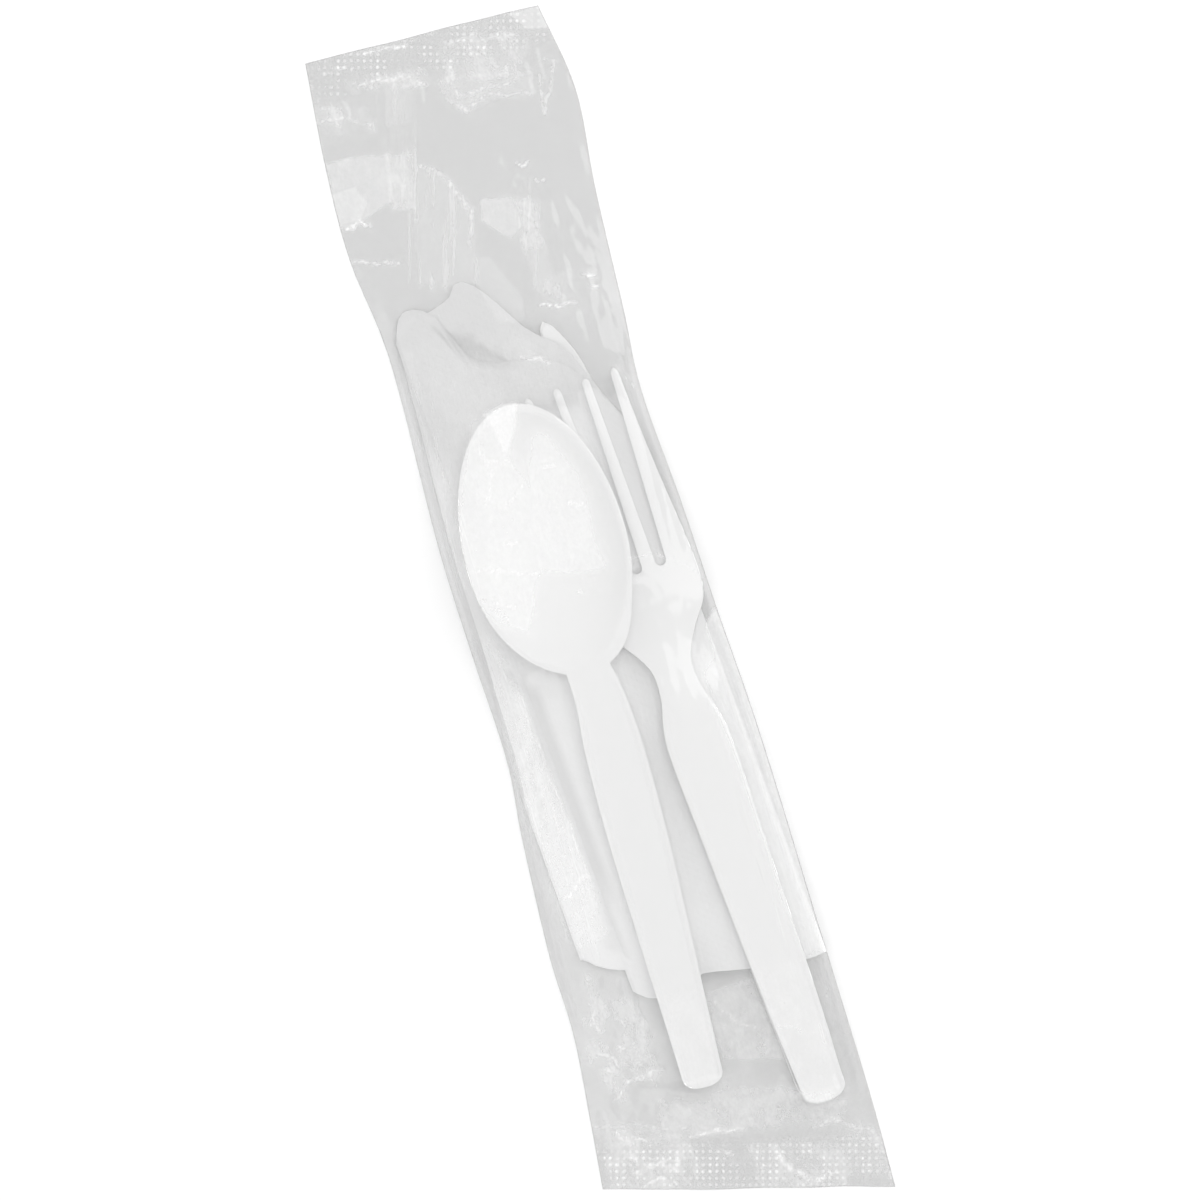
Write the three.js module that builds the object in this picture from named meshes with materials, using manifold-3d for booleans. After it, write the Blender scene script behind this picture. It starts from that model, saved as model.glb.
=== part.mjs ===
// A flow-wrapped cutlery pack lying flat: a clear film wrapper round a spoon, a fork, a knife and a napkin.
// Millimetres, +Z up. +Y runs along the pack towards the fork's tines, and +X is to the right of the spoon.
import * as THREE from "three";
import { ParametricGeometry } from "three/addons/geometries/ParametricGeometry.js";
import { mergeVertices } from "three/addons/utils/BufferGeometryUtils.js";
import Module from "manifold-3d";

const wasm = await Module();
wasm.setup();

// ---- Driving dimensions ----

// Wrapper: both long edges seen from above, from the bottom seal to the top seal.
const LEFT_EDGE = [
  [-29.9, -119.5],
  [-28.4, -104],
  [-26.9, -86],
  [-27.2, -69],
  [-26, -44],
  [-24.6, -27],
  [-25.5, -4],
  [-26.1, 20],
  [-25.2, 52],
  [-25.5, 66],
  [-27.6, 84],
  [-27.1, 104],
  [-25.2, 125.7],
];
const RIGHT_EDGE = [
  [29.5, -135.6],
  [29.8, -117],
  [29.4, -95],
  [29, -76],
  [28.6, -50],
  [28, -30],
  [26.7, -8],
  [25.6, 16],
  [24, 40],
  [25.1, 58],
  [26.4, 84],
  [28.1, 105],
  [25.3, 124.1],
];
const FILM_WALL = 0.4; // thicker than real film, so that it can be built
const SEAL_THICKNESS = 0.9; // both walls, pressed together
const BOTTOM_SEAL_SHARE = 0.045; // how much of the length each end seal takes
const TOP_SEAL_SHARE = 0.965;
const EDGE_HEIGHT = 3; // where the wrapper is widest, above what it lies on
const FIN_SEAM_X = -10;
const FIN_SEAM_WIDTH = 6.5;
const FIN_SEAM_THICKNESS = 0.25;
const VENT_RADIUS = 0.8;
const VENT_PLACE = [12, 96];

// Cutlery: where each handle ends, how each piece is turned, and how high its underside lies.
const FORK_PLACE = { x: 20.7, y: -113.6, z: 4.05, turn: 3.9 };
const KNIFE_PLACE = { x: 20.2, y: -112.3, z: 0.75, turn: 3.9 };
const SPOON_PLACE = { x: -3.1, y: -103.9, z: 4.05, turn: -0.8 };
const HANDLE_THICKNESS = 1.3;
const BEAD_HEIGHT = 0.3; // the raised edge round each handle
const UNDERSIDE_HOLLOW = 0.4;
const END_ROUNDING = 3; // the length over which a handle's end curves in
const CUT_LOW = -5; // cuts through the cutlery run from here to CUT_HIGH
const CUT_HIGH = 15;

const SPOON_LENGTH = 148;
const BOWL_CENTRE = 117;
const BOWL_HALF_WIDTH = 17;
const BOWL_TO_TIP = 31;
const BOWL_TO_NECK = 26;
const BOWL_OFFSET = -2.8; // the bowl sits to the left of the handle's line
const BOWL_DEPTH = 4.9;
const BOWL_WALL = 1.2;
const BOWL_LIP = 0.94; // the dish starts at this share of the rim

const FORK_LENGTH = 159;
const FORK_HANDLE_END = 92;
const TINE_LENGTH = 42;
const TINE_PITCH = 6.35;
const TINE_TIP_WIDTH = 1.6;
const TIP_POINT = 0.1; // half of what is left of a tine at its very tip
const SLOT_ROOT_WIDTH = 2.3;
const SLOT_ROOT_PITCH = 5.3;
const HEAD_THICKNESS = 1.4;
const TIP_THICKNESS = 1.1;
const HEAD_DISH = 0.3;

const KNIFE_LENGTH = 172;
const KNIFE_HANDLE_END = 82;
const BLADE_START = 88;
const SPINE_THICKNESS = 1.2;
const EDGE_THICKNESS = 0.5;
const TOOTH_PITCH = 1.6;
const TOOTH_DEPTH = 0.35;
const TOOTH_POINT = 0.05; // how far the points between notches stay clear of the cut
const TOOTH_COUNT = 36;
const TEETH_FROM = 100;

// Napkin: a folded pad turned with the fork, with a back panel and a shorter front panel.
const NAPKIN_TURN = 4.2;
const NAPKIN_Z = 2.65;
const PANEL_THICKNESS = 0.4;
const PANEL_GAP = 0.3;
const PANEL_POINTS = 120; // around each panel's outline
const FOLD_WIDTH = 0.8;
const FOLD_RIGHT = 22.9;
const BACK_PANEL = [
  [-26.3, -69.4],
  [-14.1, -73.6],
  [21, -81.8],
  [21.8, -78],
  [22.5, -40],
  [22.8, 0],
  [22.7, 28],
  [19.4, 38.7],
  [15.1, 50.9],
  [8.6, 58.2],
  [1.3, 70.7],
  [-1.8, 73.4],
  [-4.8, 69.8],
  [-17.6, 67],
  [-18.6, 58],
  [-22.4, 20],
  [-24, -20],
  [-26, -42],
];
const FRONT_PANEL = [
  [-17.9, -78.5],
  [-16.6, -80.8],
  [-5, -81.2],
  [3, -80.5],
  [20.8, -84.2],
  [21.8, -80],
  [22.5, -40],
  [22.8, 0],
  [22.7, 28],
  [19.4, 38.7],
  [12.8, 49.5],
  [-4.5, 57],
  [-8.8, 67.9],
  [-14.3, 71.2],
  [-17.2, 67],
  [-18.2, 50],
  [-18.4, 0],
  [-18, -50],
];
const FOLD_FROM = -60;
const FOLD_TO = 29;

// ---- Helpers ----

// A smooth function of position through [position, value] pairs.
function curveThrough(pairs) {
  const slopeAt = (i) => {
    const before = pairs[Math.max(i - 1, 0)];
    const after = pairs[Math.min(i + 1, pairs.length - 1)];
    return (after[1] - before[1]) / (after[0] - before[0]);
  };
  return (position) => {
    let i = 0;
    while (i < pairs.length - 2 && position > pairs[i + 1][0]) {
      i += 1;
    }
    const [start, from] = pairs[i];
    const [end, to] = pairs[i + 1];
    const span = end - start;
    const t = THREE.MathUtils.clamp((position - start) / span, 0, 1);
    const arrive = (3 - 2 * t) * t * t;
    const leaveSlope = t * (1 - t) * (1 - t) * span * slopeAt(i);
    const arriveSlope = t * t * (t - 1) * span * slopeAt(i + 1);
    return from + (to - from) * arrive + leaveSlope + arriveSlope;
  };
}

// A geometry as a closed solid, with shared vertices merged and empty triangles dropped.
function solidOf(geometry) {
  const bare = geometry.clone();
  bare.deleteAttribute("normal");
  bare.deleteAttribute("uv");
  const merged = mergeVertices(bare, 1e-4);
  const corners = merged.index.array;
  const kept = [];
  for (let i = 0; i < corners.length; i += 3) {
    const [a, b, c] = corners.subarray(i, i + 3);
    if (a !== b && b !== c && c !== a) {
      kept.push(a, b, c);
    }
  }
  return new wasm.Manifold(
    new wasm.Mesh({
      numProp: 3,
      vertProperties: merged.attributes.position.array,
      triVerts: new Uint32Array(kept),
    }),
  );
}

// A solid back as a geometry.
function geometryOf(solid) {
  const mesh = solid.getMesh();
  const geometry = new THREE.BufferGeometry();
  geometry.setAttribute("position", new THREE.BufferAttribute(mesh.vertProperties, 3));
  geometry.setIndex(new THREE.BufferAttribute(mesh.triVerts, 1));
  geometry.computeVertexNormals();
  return geometry;
}

// A closed skin over rings of points: place(i, v, target) sets point i of the ring at v, from 0 to 1.
// Seen from the end at v = 0, each ring runs anticlockwise, and the skin is made the other way to face out.
function skinOver(place, ringCount, rings) {
  const onRing = (u, v, target) => {
    place(Math.round((1 - u) * ringCount) % ringCount, v, target);
  };
  return solidOf(new ParametricGeometry(onRing, ringCount, rings));
}

// A long thin piece: its left and right limits are functions of y, its two faces functions of x and y.
// Its points crowd towards its edges and ends, and the first and last rings close up to a line.
function plate({ length, left, right, top, bottom }, across, rings) {
  const ringCount = 2 * across;
  const place = (i, v, target) => {
    const y = (length * (1 - Math.cos(Math.PI * v))) / 2;
    const onBottom = i < across;
    const step = (onBottom ? i : ringCount - 1 - i) / (across - 1);
    const share = (1 - Math.cos(Math.PI * step)) / 2;
    const x = THREE.MathUtils.lerp(left(y), right(y), share);
    const closing = v === 0 || v === 1;
    const middle = (top(x, y) + bottom(x, y)) / 2;
    const face = onBottom ? bottom : top;
    target.set(x, y, closing ? middle : face(x, y));
  };
  return skinOver(place, ringCount, rings);
}

// How much of its width a rounded end has at this distance from its tip.
function roundedEnd(distance, rounding) {
  const inwards = 1 - Math.min(distance / rounding, 1);
  const power = 2.4;
  return Math.pow(1 - Math.pow(inwards, power), 1 / power);
}

// From 0 at the middle of a piece to 1 at its edge.
function towardsEdge(x, y, left, right) {
  const half = (right(y) - left(y)) / 2;
  const middle = (right(y) + left(y)) / 2;
  return half > 0 ? Math.abs(x - middle) / half : 0;
}

// A handle's raised edge, which fades out where the handle ends.
function bead(across, y, handleEnd) {
  const fade = 1 - THREE.MathUtils.smoothstep(y, handleEnd - 12, handleEnd);
  return BEAD_HEIGHT * fade * THREE.MathUtils.smoothstep(across, 0.7, 0.86);
}

// The shallow channel under a handle.
function hollow(across, y, handleEnd) {
  const fromEnd = THREE.MathUtils.smoothstep(y, 2, 7);
  const fade = 1 - THREE.MathUtils.smoothstep(y, handleEnd - 14, handleEnd - 2);
  return UNDERSIDE_HOLLOW * fade * fromEnd * (1 - THREE.MathUtils.smoothstep(across, 0.55, 0.8));
}

// An upright prism with this outline, from z = low to z = high.
function prism(outline, low, high) {
  const shape = new THREE.Shape(outline.map(([x, y]) => new THREE.Vector2(x, y)));
  const geometry = new THREE.ExtrudeGeometry(shape, { depth: high - low, bevelEnabled: false });
  geometry.translate(0, 0, low);
  return solidOf(geometry);
}

function plasticMesh(name, solid, colour, place) {
  const material = new THREE.MeshStandardMaterial({ color: colour, roughness: 0.35, metalness: 0 });
  const mesh = new THREE.Mesh(geometryOf(solid), material);
  mesh.name = name;
  mesh.position.set(place.x, place.y, place.z);
  mesh.rotation.z = THREE.MathUtils.degToRad(place.turn);
  return mesh;
}

// ---- Spoon ----

function makeSpoon() {
  const neck = BOWL_CENTRE - BOWL_TO_NECK;
  const handleHalf = curveThrough([
    [0, 4.3],
    [6, 4.4],
    [54, 6.1],
    [74, 6],
    [84, 5.2],
    [91, 4.7],
    [96, 4.7],
  ]);
  const height = curveThrough([
    [0, HANDLE_THICKNESS],
    [45, 4.3],
    [82, 7.3],
    [100, 8.1],
    [SPOON_LENGTH, 7.9],
  ]);
  const shift = (y) => BOWL_OFFSET * THREE.MathUtils.smoothstep(y, 82, 106);
  const bowlReach = (y) => (y > BOWL_CENTRE ? BOWL_TO_TIP : BOWL_TO_NECK);
  const half = (y) => {
    const along = (y - BOWL_CENTRE) / bowlReach(y);
    const bowl = BOWL_HALF_WIDTH * Math.sqrt(Math.max(0, 1 - along * along));
    if (y > BOWL_CENTRE) {
      return bowl;
    }
    const handle = y < 96 ? handleHalf(y) : 0;
    return Math.hypot(handle, bowl, 0) * roundedEnd(y, END_ROUNDING);
  };
  const left = (y) => shift(y) - half(y);
  const right = (y) => shift(y) + half(y);
  const fromCentre = (x, y, share) => {
    const across = (x - BOWL_OFFSET) / (BOWL_HALF_WIDTH * share);
    const along = (y - BOWL_CENTRE) / (bowlReach(y) * share);
    return Math.min(1, across * across + along * along);
  };
  const dish = (x, y, share) => BOWL_DEPTH * (1 - Math.pow(fromCentre(x, y, share), 1.2));
  const top = (x, y) => {
    const across = towardsEdge(x, y, left, right);
    return height(y) - dish(x, y, BOWL_LIP) + bead(across, y, neck);
  };
  const bottom = (x, y) => {
    const across = towardsEdge(x, y, left, right);
    const wall = y < neck ? HANDLE_THICKNESS : BOWL_WALL;
    return height(y) - dish(x, y, 1) - wall + hollow(across, y, neck);
  };
  return plate({ length: SPOON_LENGTH, left, right, top, bottom }, 13, 52);
}

// ---- Fork ----

// The gap between two tines: a round root, then straight sides that open towards the tips and flare round them.
function slot(index) {
  const root = FORK_LENGTH - TINE_LENGTH;
  const rootHalf = SLOT_ROOT_WIDTH / 2;
  const tipHalf = (TINE_PITCH - TINE_TIP_WIDTH) / 2;
  const flareHalf = TINE_PITCH / 2 - TIP_POINT;
  const rootX = index * SLOT_ROOT_PITCH;
  const tipX = index * TINE_PITCH;
  const flareFrom = FORK_LENGTH - TINE_TIP_WIDTH;
  const flareBend = FORK_LENGTH - 0.2;
  const clear = FORK_LENGTH + 2;
  const shape = new THREE.Shape();
  shape.moveTo(rootX + rootHalf, root + rootHalf);
  shape.lineTo(tipX + tipHalf, flareFrom);
  shape.quadraticCurveTo(tipX + tipHalf, flareBend, tipX + flareHalf, FORK_LENGTH);
  shape.lineTo(tipX + flareHalf, clear);
  shape.lineTo(tipX - flareHalf, clear);
  shape.lineTo(tipX - flareHalf, FORK_LENGTH);
  shape.quadraticCurveTo(tipX - tipHalf, flareBend, tipX - tipHalf, flareFrom);
  shape.lineTo(rootX - rootHalf, root + rootHalf);
  shape.absarc(rootX, root + rootHalf, rootHalf, Math.PI, 2 * Math.PI, false);
  const geometry = new THREE.ExtrudeGeometry(shape, {
    depth: CUT_HIGH - CUT_LOW,
    bevelEnabled: false,
    curveSegments: 8,
  });
  geometry.translate(0, 0, CUT_LOW);
  return solidOf(geometry);
}

function makeFork() {
  const tipHalf = 1.5 * TINE_PITCH;
  const halfWidth = curveThrough([
    [0, 4.6],
    [5, 4.7],
    [20, 5.4],
    [62, 6.4],
    [80, 6.7],
    [85, 6],
    [91, 4.4],
    [97, 4.4],
    [103, 7.6],
    [108, 11.2],
    [114, 12.2],
    [124, 11.9],
    [140, 10.9],
    [FORK_LENGTH - TINE_TIP_WIDTH, tipHalf + TINE_TIP_WIDTH / 2],
    [FORK_LENGTH, tipHalf + TIP_POINT],
  ]);
  const height = curveThrough([
    [0, HANDLE_THICKNESS],
    [45, 3.4],
    [86, 5],
    [98, 4],
    [108, 2.2],
    [118, 1.5],
    [132, 1.5],
    [FORK_LENGTH, 3.6],
  ]);
  const thickness = curveThrough([
    [0, HANDLE_THICKNESS],
    [90, HANDLE_THICKNESS],
    [116, HEAD_THICKNESS],
    [FORK_LENGTH, TIP_THICKNESS],
  ]);
  const half = (y) => halfWidth(y) * roundedEnd(y, END_ROUNDING);
  const left = (y) => -half(y);
  const right = half;
  const dish = (across, y) => HEAD_DISH * across * across * THREE.MathUtils.smoothstep(y, 98, 112);
  const top = (x, y) => {
    const across = towardsEdge(x, y, left, right);
    return height(y) + dish(across, y) + bead(across, y, FORK_HANDLE_END);
  };
  const bottom = (x, y) => {
    const across = towardsEdge(x, y, left, right);
    return height(y) - thickness(y) + dish(across, y) + hollow(across, y, FORK_HANDLE_END);
  };
  const blank = plate({ length: FORK_LENGTH, left, right, top, bottom }, 11, 56);
  return [-1, 0, 1].reduce((fork, index) => fork.subtract(slot(index)), blank);
}

// ---- Knife ----

function makeKnife() {
  const cuttingSide = curveThrough([
    [0, 4.6],
    [5, 4.8],
    [60, 6],
    [74, 5.6],
    [KNIFE_HANDLE_END, 4.9],
    [BLADE_START, 7.9],
    [92, 8.6],
    [130, 9],
    [147, 7.7],
    [156, 5.5],
    [163.5, 4.1],
    [167, 2.9],
    [169.5, 1.8],
    [171, 1.1],
    [KNIFE_LENGTH, 0.1],
  ]);
  const spineSide = curveThrough([
    [0, 4.6],
    [5, 4.8],
    [60, 6],
    [74, 5.6],
    [KNIFE_HANDLE_END, 5.4],
    [BLADE_START, 7.2],
    [94, 8],
    [138, 8],
    [152, 6.4],
    [163, 3.5],
    [169, 1.5],
    [171, 1],
    [KNIFE_LENGTH, 0.1],
  ]);
  const ending = (y) => roundedEnd(y, END_ROUNDING);
  const right = (y) => cuttingSide(y) * ending(y);
  const left = (y) => -spineSide(y) * ending(y);
  const blade = (y) => THREE.MathUtils.smoothstep(y, KNIFE_HANDLE_END - 4, BLADE_START + 4);
  const top = (x, y) => {
    const across = towardsEdge(x, y, left, right);
    const reach = (x - left(y)) / Math.max(right(y) - left(y), 0.01);
    const ground = THREE.MathUtils.lerp(SPINE_THICKNESS, EDGE_THICKNESS, reach);
    return THREE.MathUtils.lerp(HANDLE_THICKNESS, ground, blade(y)) + bead(across, y, KNIFE_HANDLE_END);
  };
  const bottom = (x, y) => hollow(towardsEdge(x, y, left, right), y, KNIFE_HANDLE_END);
  const blank = plate({ length: KNIFE_LENGTH, left, right, top, bottom }, 9, 48);
  const beyondEdge = 2 * cuttingSide(BLADE_START);
  const teethEnd = TEETH_FROM + TOOTH_COUNT * TOOTH_PITCH;
  const outside = [[right(TEETH_FROM) + TOOTH_POINT, TEETH_FROM]];
  for (let tooth = 0; tooth < TOOTH_COUNT; tooth += 1) {
    const notch = TEETH_FROM + (tooth + 0.5) * TOOTH_PITCH;
    const point = TEETH_FROM + (tooth + 1) * TOOTH_PITCH;
    outside.push([right(notch) - TOOTH_DEPTH, notch]);
    outside.push([right(point) + TOOTH_POINT, point]);
  }
  outside.push([beyondEdge, teethEnd]);
  outside.push([beyondEdge, TEETH_FROM]);
  return blank.subtract(prism(outside, CUT_LOW, CUT_HIGH));
}

// ---- Napkin ----

// A soft panel: its outline runs smoothly through these points.
function panel(points, low, high) {
  const corners = points.map(([x, y]) => new THREE.Vector3(x, y, 0));
  const outline = new THREE.CatmullRomCurve3(corners, true).getSpacedPoints(PANEL_POINTS);
  return prism(outline.slice(0, -1).map((point) => [point.x, point.y]), low, high);
}

function makeNapkin() {
  const backTop = PANEL_THICKNESS;
  const frontLow = backTop + PANEL_GAP;
  const frontTop = frontLow + PANEL_THICKNESS;
  const fold = [
    [FOLD_RIGHT - FOLD_WIDTH, FOLD_FROM],
    [FOLD_RIGHT, FOLD_FROM],
    [FOLD_RIGHT, FOLD_TO],
    [FOLD_RIGHT - FOLD_WIDTH, FOLD_TO],
  ];
  return panel(BACK_PANEL, 0, backTop)
    .add(panel(FRONT_PANEL, frontLow, frontTop))
    .add(prism(fold, 0.01, frontTop - 0.01));
}

// ---- Wrapper ----

const edgeCurve = (points) => new THREE.CatmullRomCurve3(points.map(([x, y]) => new THREE.Vector3(x, y, 0)));

// The wrapper's outer height and how square its section is, by share of its length.
const filmHeight = curveThrough([
  [0, SEAL_THICKNESS],
  [BOTTOM_SEAL_SHARE, SEAL_THICKNESS],
  [0.083, 7.3],
  [0.167, 8.4],
  [0.25, 9.5],
  [0.333, 10.9],
  [0.41, 12.5],
  [0.49, 13.5],
  [0.58, 13.7],
  [0.67, 13.3],
  [0.71, 10.6],
  [0.76, 7.6],
  [0.84, 5.6],
  [0.92, 4.2],
  [TOP_SEAL_SHARE, SEAL_THICKNESS],
  [1, SEAL_THICKNESS],
]);
const filmSquareness = curveThrough([
  [0, 5],
  [0.67, 6],
  [0.76, 3.6],
  [0.85, 2.4],
  [1, 3],
]);

// The wrapper's outer form, or with an inset the hollow inside it, from one share of its length to another.
function filmForm(inset, from, to, across, rings) {
  const leftEdge = edgeCurve(LEFT_EDGE);
  const rightEdge = edgeCurve(RIGHT_EDGE);
  const ringCount = 2 * across - 2;
  const place = (i, v, target) => {
    const share = THREE.MathUtils.lerp(from, to, v);
    const leftPoint = leftEdge.getPoint(share);
    const rightPoint = rightEdge.getPoint(share);
    const width = rightPoint.distanceTo(leftPoint);
    const onBottom = i < across;
    const step = (onBottom ? i : ringCount - i) / (across - 1);
    const reach = Math.sin(Math.PI * (step - 0.5));
    const spread = (reach * (width / 2 - inset * 1.4)) / width + 0.5;
    const high = filmHeight(share) - inset;
    const low = inset;
    const widest = Math.min(EDGE_HEIGHT, (high + low) / 2);
    const square = filmSquareness(share);
    const bulge = Math.pow(1 - Math.pow(Math.abs(reach), square), 1 / square);
    const flat = Math.pow(1 - Math.pow(Math.abs(reach), 9), 1 / 9);
    const closing = v === 0 || v === 1;
    const upper = widest + (high - widest) * bulge;
    const lower = widest - (widest - low) * flat;
    target.lerpVectors(leftPoint, rightPoint, spread);
    target.z = closing ? (high + low) / 2 : onBottom ? lower : upper;
  };
  return skinOver(place, ringCount, rings);
}

function makeFilm() {
  const outer = filmForm(0, 0, 1, 18, 48);
  const hollowInside = filmForm(FILM_WALL, BOTTOM_SEAL_SHARE, TOP_SEAL_SHARE, 15, 42);
  const seamLeft = FIN_SEAM_X - FIN_SEAM_WIDTH / 2;
  const seamRight = FIN_SEAM_X + FIN_SEAM_WIDTH / 2;
  const reach = LEFT_EDGE.at(-1)[1] - RIGHT_EDGE[0][1];
  const seamStrip = [
    [seamLeft, -reach],
    [seamRight, -reach],
    [seamRight, reach],
    [seamLeft, reach],
  ];
  const seam = prism(seamStrip, 0, FILM_WALL + FIN_SEAM_THICKNESS);
  const vent = new THREE.CylinderGeometry(VENT_RADIUS, VENT_RADIUS, 3 * FILM_WALL, 16);
  vent.rotateX(Math.PI / 2);
  vent.translate(VENT_PLACE[0], VENT_PLACE[1], FILM_WALL / 2);
  return outer.subtract(hollowInside.subtract(seam)).subtract(solidOf(vent));
}

// ---- Pack ----

const pack = new THREE.Group();

const filmMaterial = new THREE.MeshStandardMaterial({
  color: "#dfe1e3",
  roughness: 0.2,
  metalness: 0,
  transparent: true,
  opacity: 0.3,
});
const film = new THREE.Mesh(geometryOf(makeFilm()), filmMaterial);
film.name = "film_wrapper";

const napkinMaterial = new THREE.MeshStandardMaterial({ color: "#f1f0ee", roughness: 0.95, metalness: 0 });
const napkin = new THREE.Mesh(geometryOf(makeNapkin()), napkinMaterial);
napkin.name = "napkin";
napkin.position.z = NAPKIN_Z;
napkin.rotation.z = THREE.MathUtils.degToRad(NAPKIN_TURN);

pack.add(film, napkin);
pack.add(plasticMesh("spoon", makeSpoon(), "#f6f6f4", SPOON_PLACE));
pack.add(plasticMesh("fork", makeFork(), "#f6f6f4", FORK_PLACE));
pack.add(plasticMesh("knife", makeKnife(), "#f6f6f4", KNIFE_PLACE));

// The pack's origin is the middle of the wrapper's box, on what it lies on.
film.geometry.computeBoundingBox();
const middle = film.geometry.boundingBox.getCenter(new THREE.Vector3());
pack.position.set(-middle.x, -middle.y, 0);

export default pack;
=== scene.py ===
"""Looks for a flow-wrapped cutlery pack: clear creased film over a spoon, a fork, a knife and a napkin.

Lengths in the tables below are millimetres in the pack's own layout, +Y towards the fork's tines.
"""

import math

import bmesh
import bpy
import numpy as np
from mathutils import Matrix, Vector
from mathutils.bvhtree import BVHTree


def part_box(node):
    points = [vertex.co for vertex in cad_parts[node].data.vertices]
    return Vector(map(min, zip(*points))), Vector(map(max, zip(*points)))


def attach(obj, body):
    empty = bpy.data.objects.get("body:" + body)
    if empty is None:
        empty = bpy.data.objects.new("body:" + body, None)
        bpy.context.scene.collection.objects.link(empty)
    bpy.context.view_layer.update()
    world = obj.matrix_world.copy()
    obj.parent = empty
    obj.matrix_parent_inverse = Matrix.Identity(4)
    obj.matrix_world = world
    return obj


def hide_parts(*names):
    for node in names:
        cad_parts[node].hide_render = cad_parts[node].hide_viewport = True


bl_info = {
    "name": "Cutlery pack",
    "version": (1, 0, 0),
    "blender": (4, 5, 0),
    "location": "3D View > Sidebar > Cutlery pack",
    "description": "Builds a clear film pack with plastic cutlery and a paper napkin",
    "category": "Add Mesh",
}

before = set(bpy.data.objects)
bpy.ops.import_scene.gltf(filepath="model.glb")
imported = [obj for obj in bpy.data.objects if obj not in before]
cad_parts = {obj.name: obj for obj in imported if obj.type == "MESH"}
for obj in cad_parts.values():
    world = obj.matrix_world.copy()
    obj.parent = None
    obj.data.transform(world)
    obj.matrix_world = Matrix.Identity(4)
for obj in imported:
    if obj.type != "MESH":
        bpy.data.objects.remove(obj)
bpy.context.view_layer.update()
FILM_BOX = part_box("film_wrapper")
MM = 0.001
WELD = 1e-6
FINE_WELD = 1e-7

# ---- Outline of the pack ----

# The film's two long edges seen from above, from the bottom seal to the top seal.
LEFT_EDGE = [
    *[(-29.9, -119.5), (-28.4, -104), (-26.9, -86), (-27.2, -69), (-26, -44), (-24.6, -27), (-25.5, -4)],
    *[(-26.1, 20), (-25.2, 52), (-25.5, 66), (-27.6, 84), (-27.1, 104), (-25.2, 125.7)],
]
RIGHT_EDGE = [
    *[(29.5, -135.6), (29.8, -117), (29.4, -95), (29, -76), (28.6, -50), (28, -30), (26.7, -8)],
    *[(25.6, 16), (24, 40), (25.1, 58), (26.4, 84), (28.1, 105), (25.3, 124.1)],
]


# ---- Numbers along a piece ----


def curve_through(pairs):
    """A smooth function of position through (position, value) pairs. It takes arrays."""
    at = np.array([pair[0] for pair in pairs], float)
    value = np.array([pair[1] for pair in pairs], float)
    before = np.maximum(np.arange(len(at)) - 1, 0)
    after = np.minimum(np.arange(len(at)) + 1, len(at) - 1)
    slope = (value[after] - value[before]) / (at[after] - at[before])

    def curve(position):
        position = np.asarray(position, float)
        i = np.clip(np.searchsorted(at, position, side="right") - 1, 0, len(at) - 2)
        span = at[i + 1] - at[i]
        t = np.clip((position - at[i]) / span, 0, 1)
        rise = (3 - 2 * t) * t * t
        leave = t * (1 - t) ** 2 * span * slope[i]
        arrive = t * t * (t - 1) * span * slope[i + 1]
        return value[i] + (value[i + 1] - value[i]) * rise + leave + arrive

    return curve


def smoothstep(x, low, high):
    t = np.clip((np.asarray(x, float) - low) / (high - low), 0, 1)
    return t * t * (3 - 2 * t)


def rounded_end(distance, rounding):
    """How much of its width a rounded end has at this distance from its tip."""
    fullness = 2.4  # 2 would be a plain ellipse
    inwards = 1 - np.minimum(np.asarray(distance, float) / rounding, 1)
    return (1 - inwards**fullness) ** (1 / fullness)


def cloud(x, y, size_x, size_y, seed):
    """Smooth noise from -1 to 1 over x and y, with bumps of about these sizes."""
    gx, gy = np.asarray(x) / size_x, np.asarray(y) / size_y
    ix, iy = np.floor(gx).astype(int), np.floor(gy).astype(int)
    low_x, low_y = ix.min(), iy.min()
    corners = (ix.max() - low_x + 2, iy.max() - low_y + 2)
    angles = np.random.default_rng(seed).uniform(0, math.tau, corners)
    fx, fy = gx - ix, gy - iy
    total = 0
    for dx in (0, 1):
        for dy in (0, 1):
            angle = angles[ix - low_x + dx, iy - low_y + dy]
            pull = np.cos(angle) * (fx - dx) + np.sin(angle) * (fy - dy)
            near_x, near_y = 1 - np.abs(fx - dx), 1 - np.abs(fy - dy)
            weight_x = near_x**3 * (near_x * (near_x * 6 - 15) + 10)
            weight_y = near_y**3 * (near_y * (near_y * 6 - 15) + 10)
            total = total + weight_x * weight_y * pull
    return np.clip(total * 1.5, -1, 1)


def folds(x, y, size_x, size_y, seed):
    """Sharp creases with flatter facets between them, from -1 to 1."""
    bend = 0.35
    slower = 1.7
    sharpness = 3.2
    bend_x = x + bend * size_x * cloud(x, y, size_x * slower, size_y * slower, seed + 1)
    bend_y = y + bend * size_y * cloud(x, y, size_x * slower, size_y * slower, seed + 2)
    return 1 - sharpness * np.abs(cloud(bend_x, bend_y, size_x, size_y, seed))


def distance_to(x, y, path):
    """Each point's distance to a path, and how far along the path its nearest point is, from 0 to 1."""
    best = np.full(np.shape(x), np.inf)
    along = np.zeros(np.shape(x))
    parts = len(path) - 1
    for i in range(parts):
        (ax, ay), (bx, by) = path[i], path[i + 1]
        dx, dy = bx - ax, by - ay
        t = np.clip(((x - ax) * dx + (y - ay) * dy) / (dx * dx + dy * dy), 0, 1)
        distance = np.hypot(x - ax - t * dx, y - ay - t * dy)
        along = np.where(distance < best, (i + t) / parts, along)
        best = np.minimum(distance, best)
    return best, along


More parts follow.
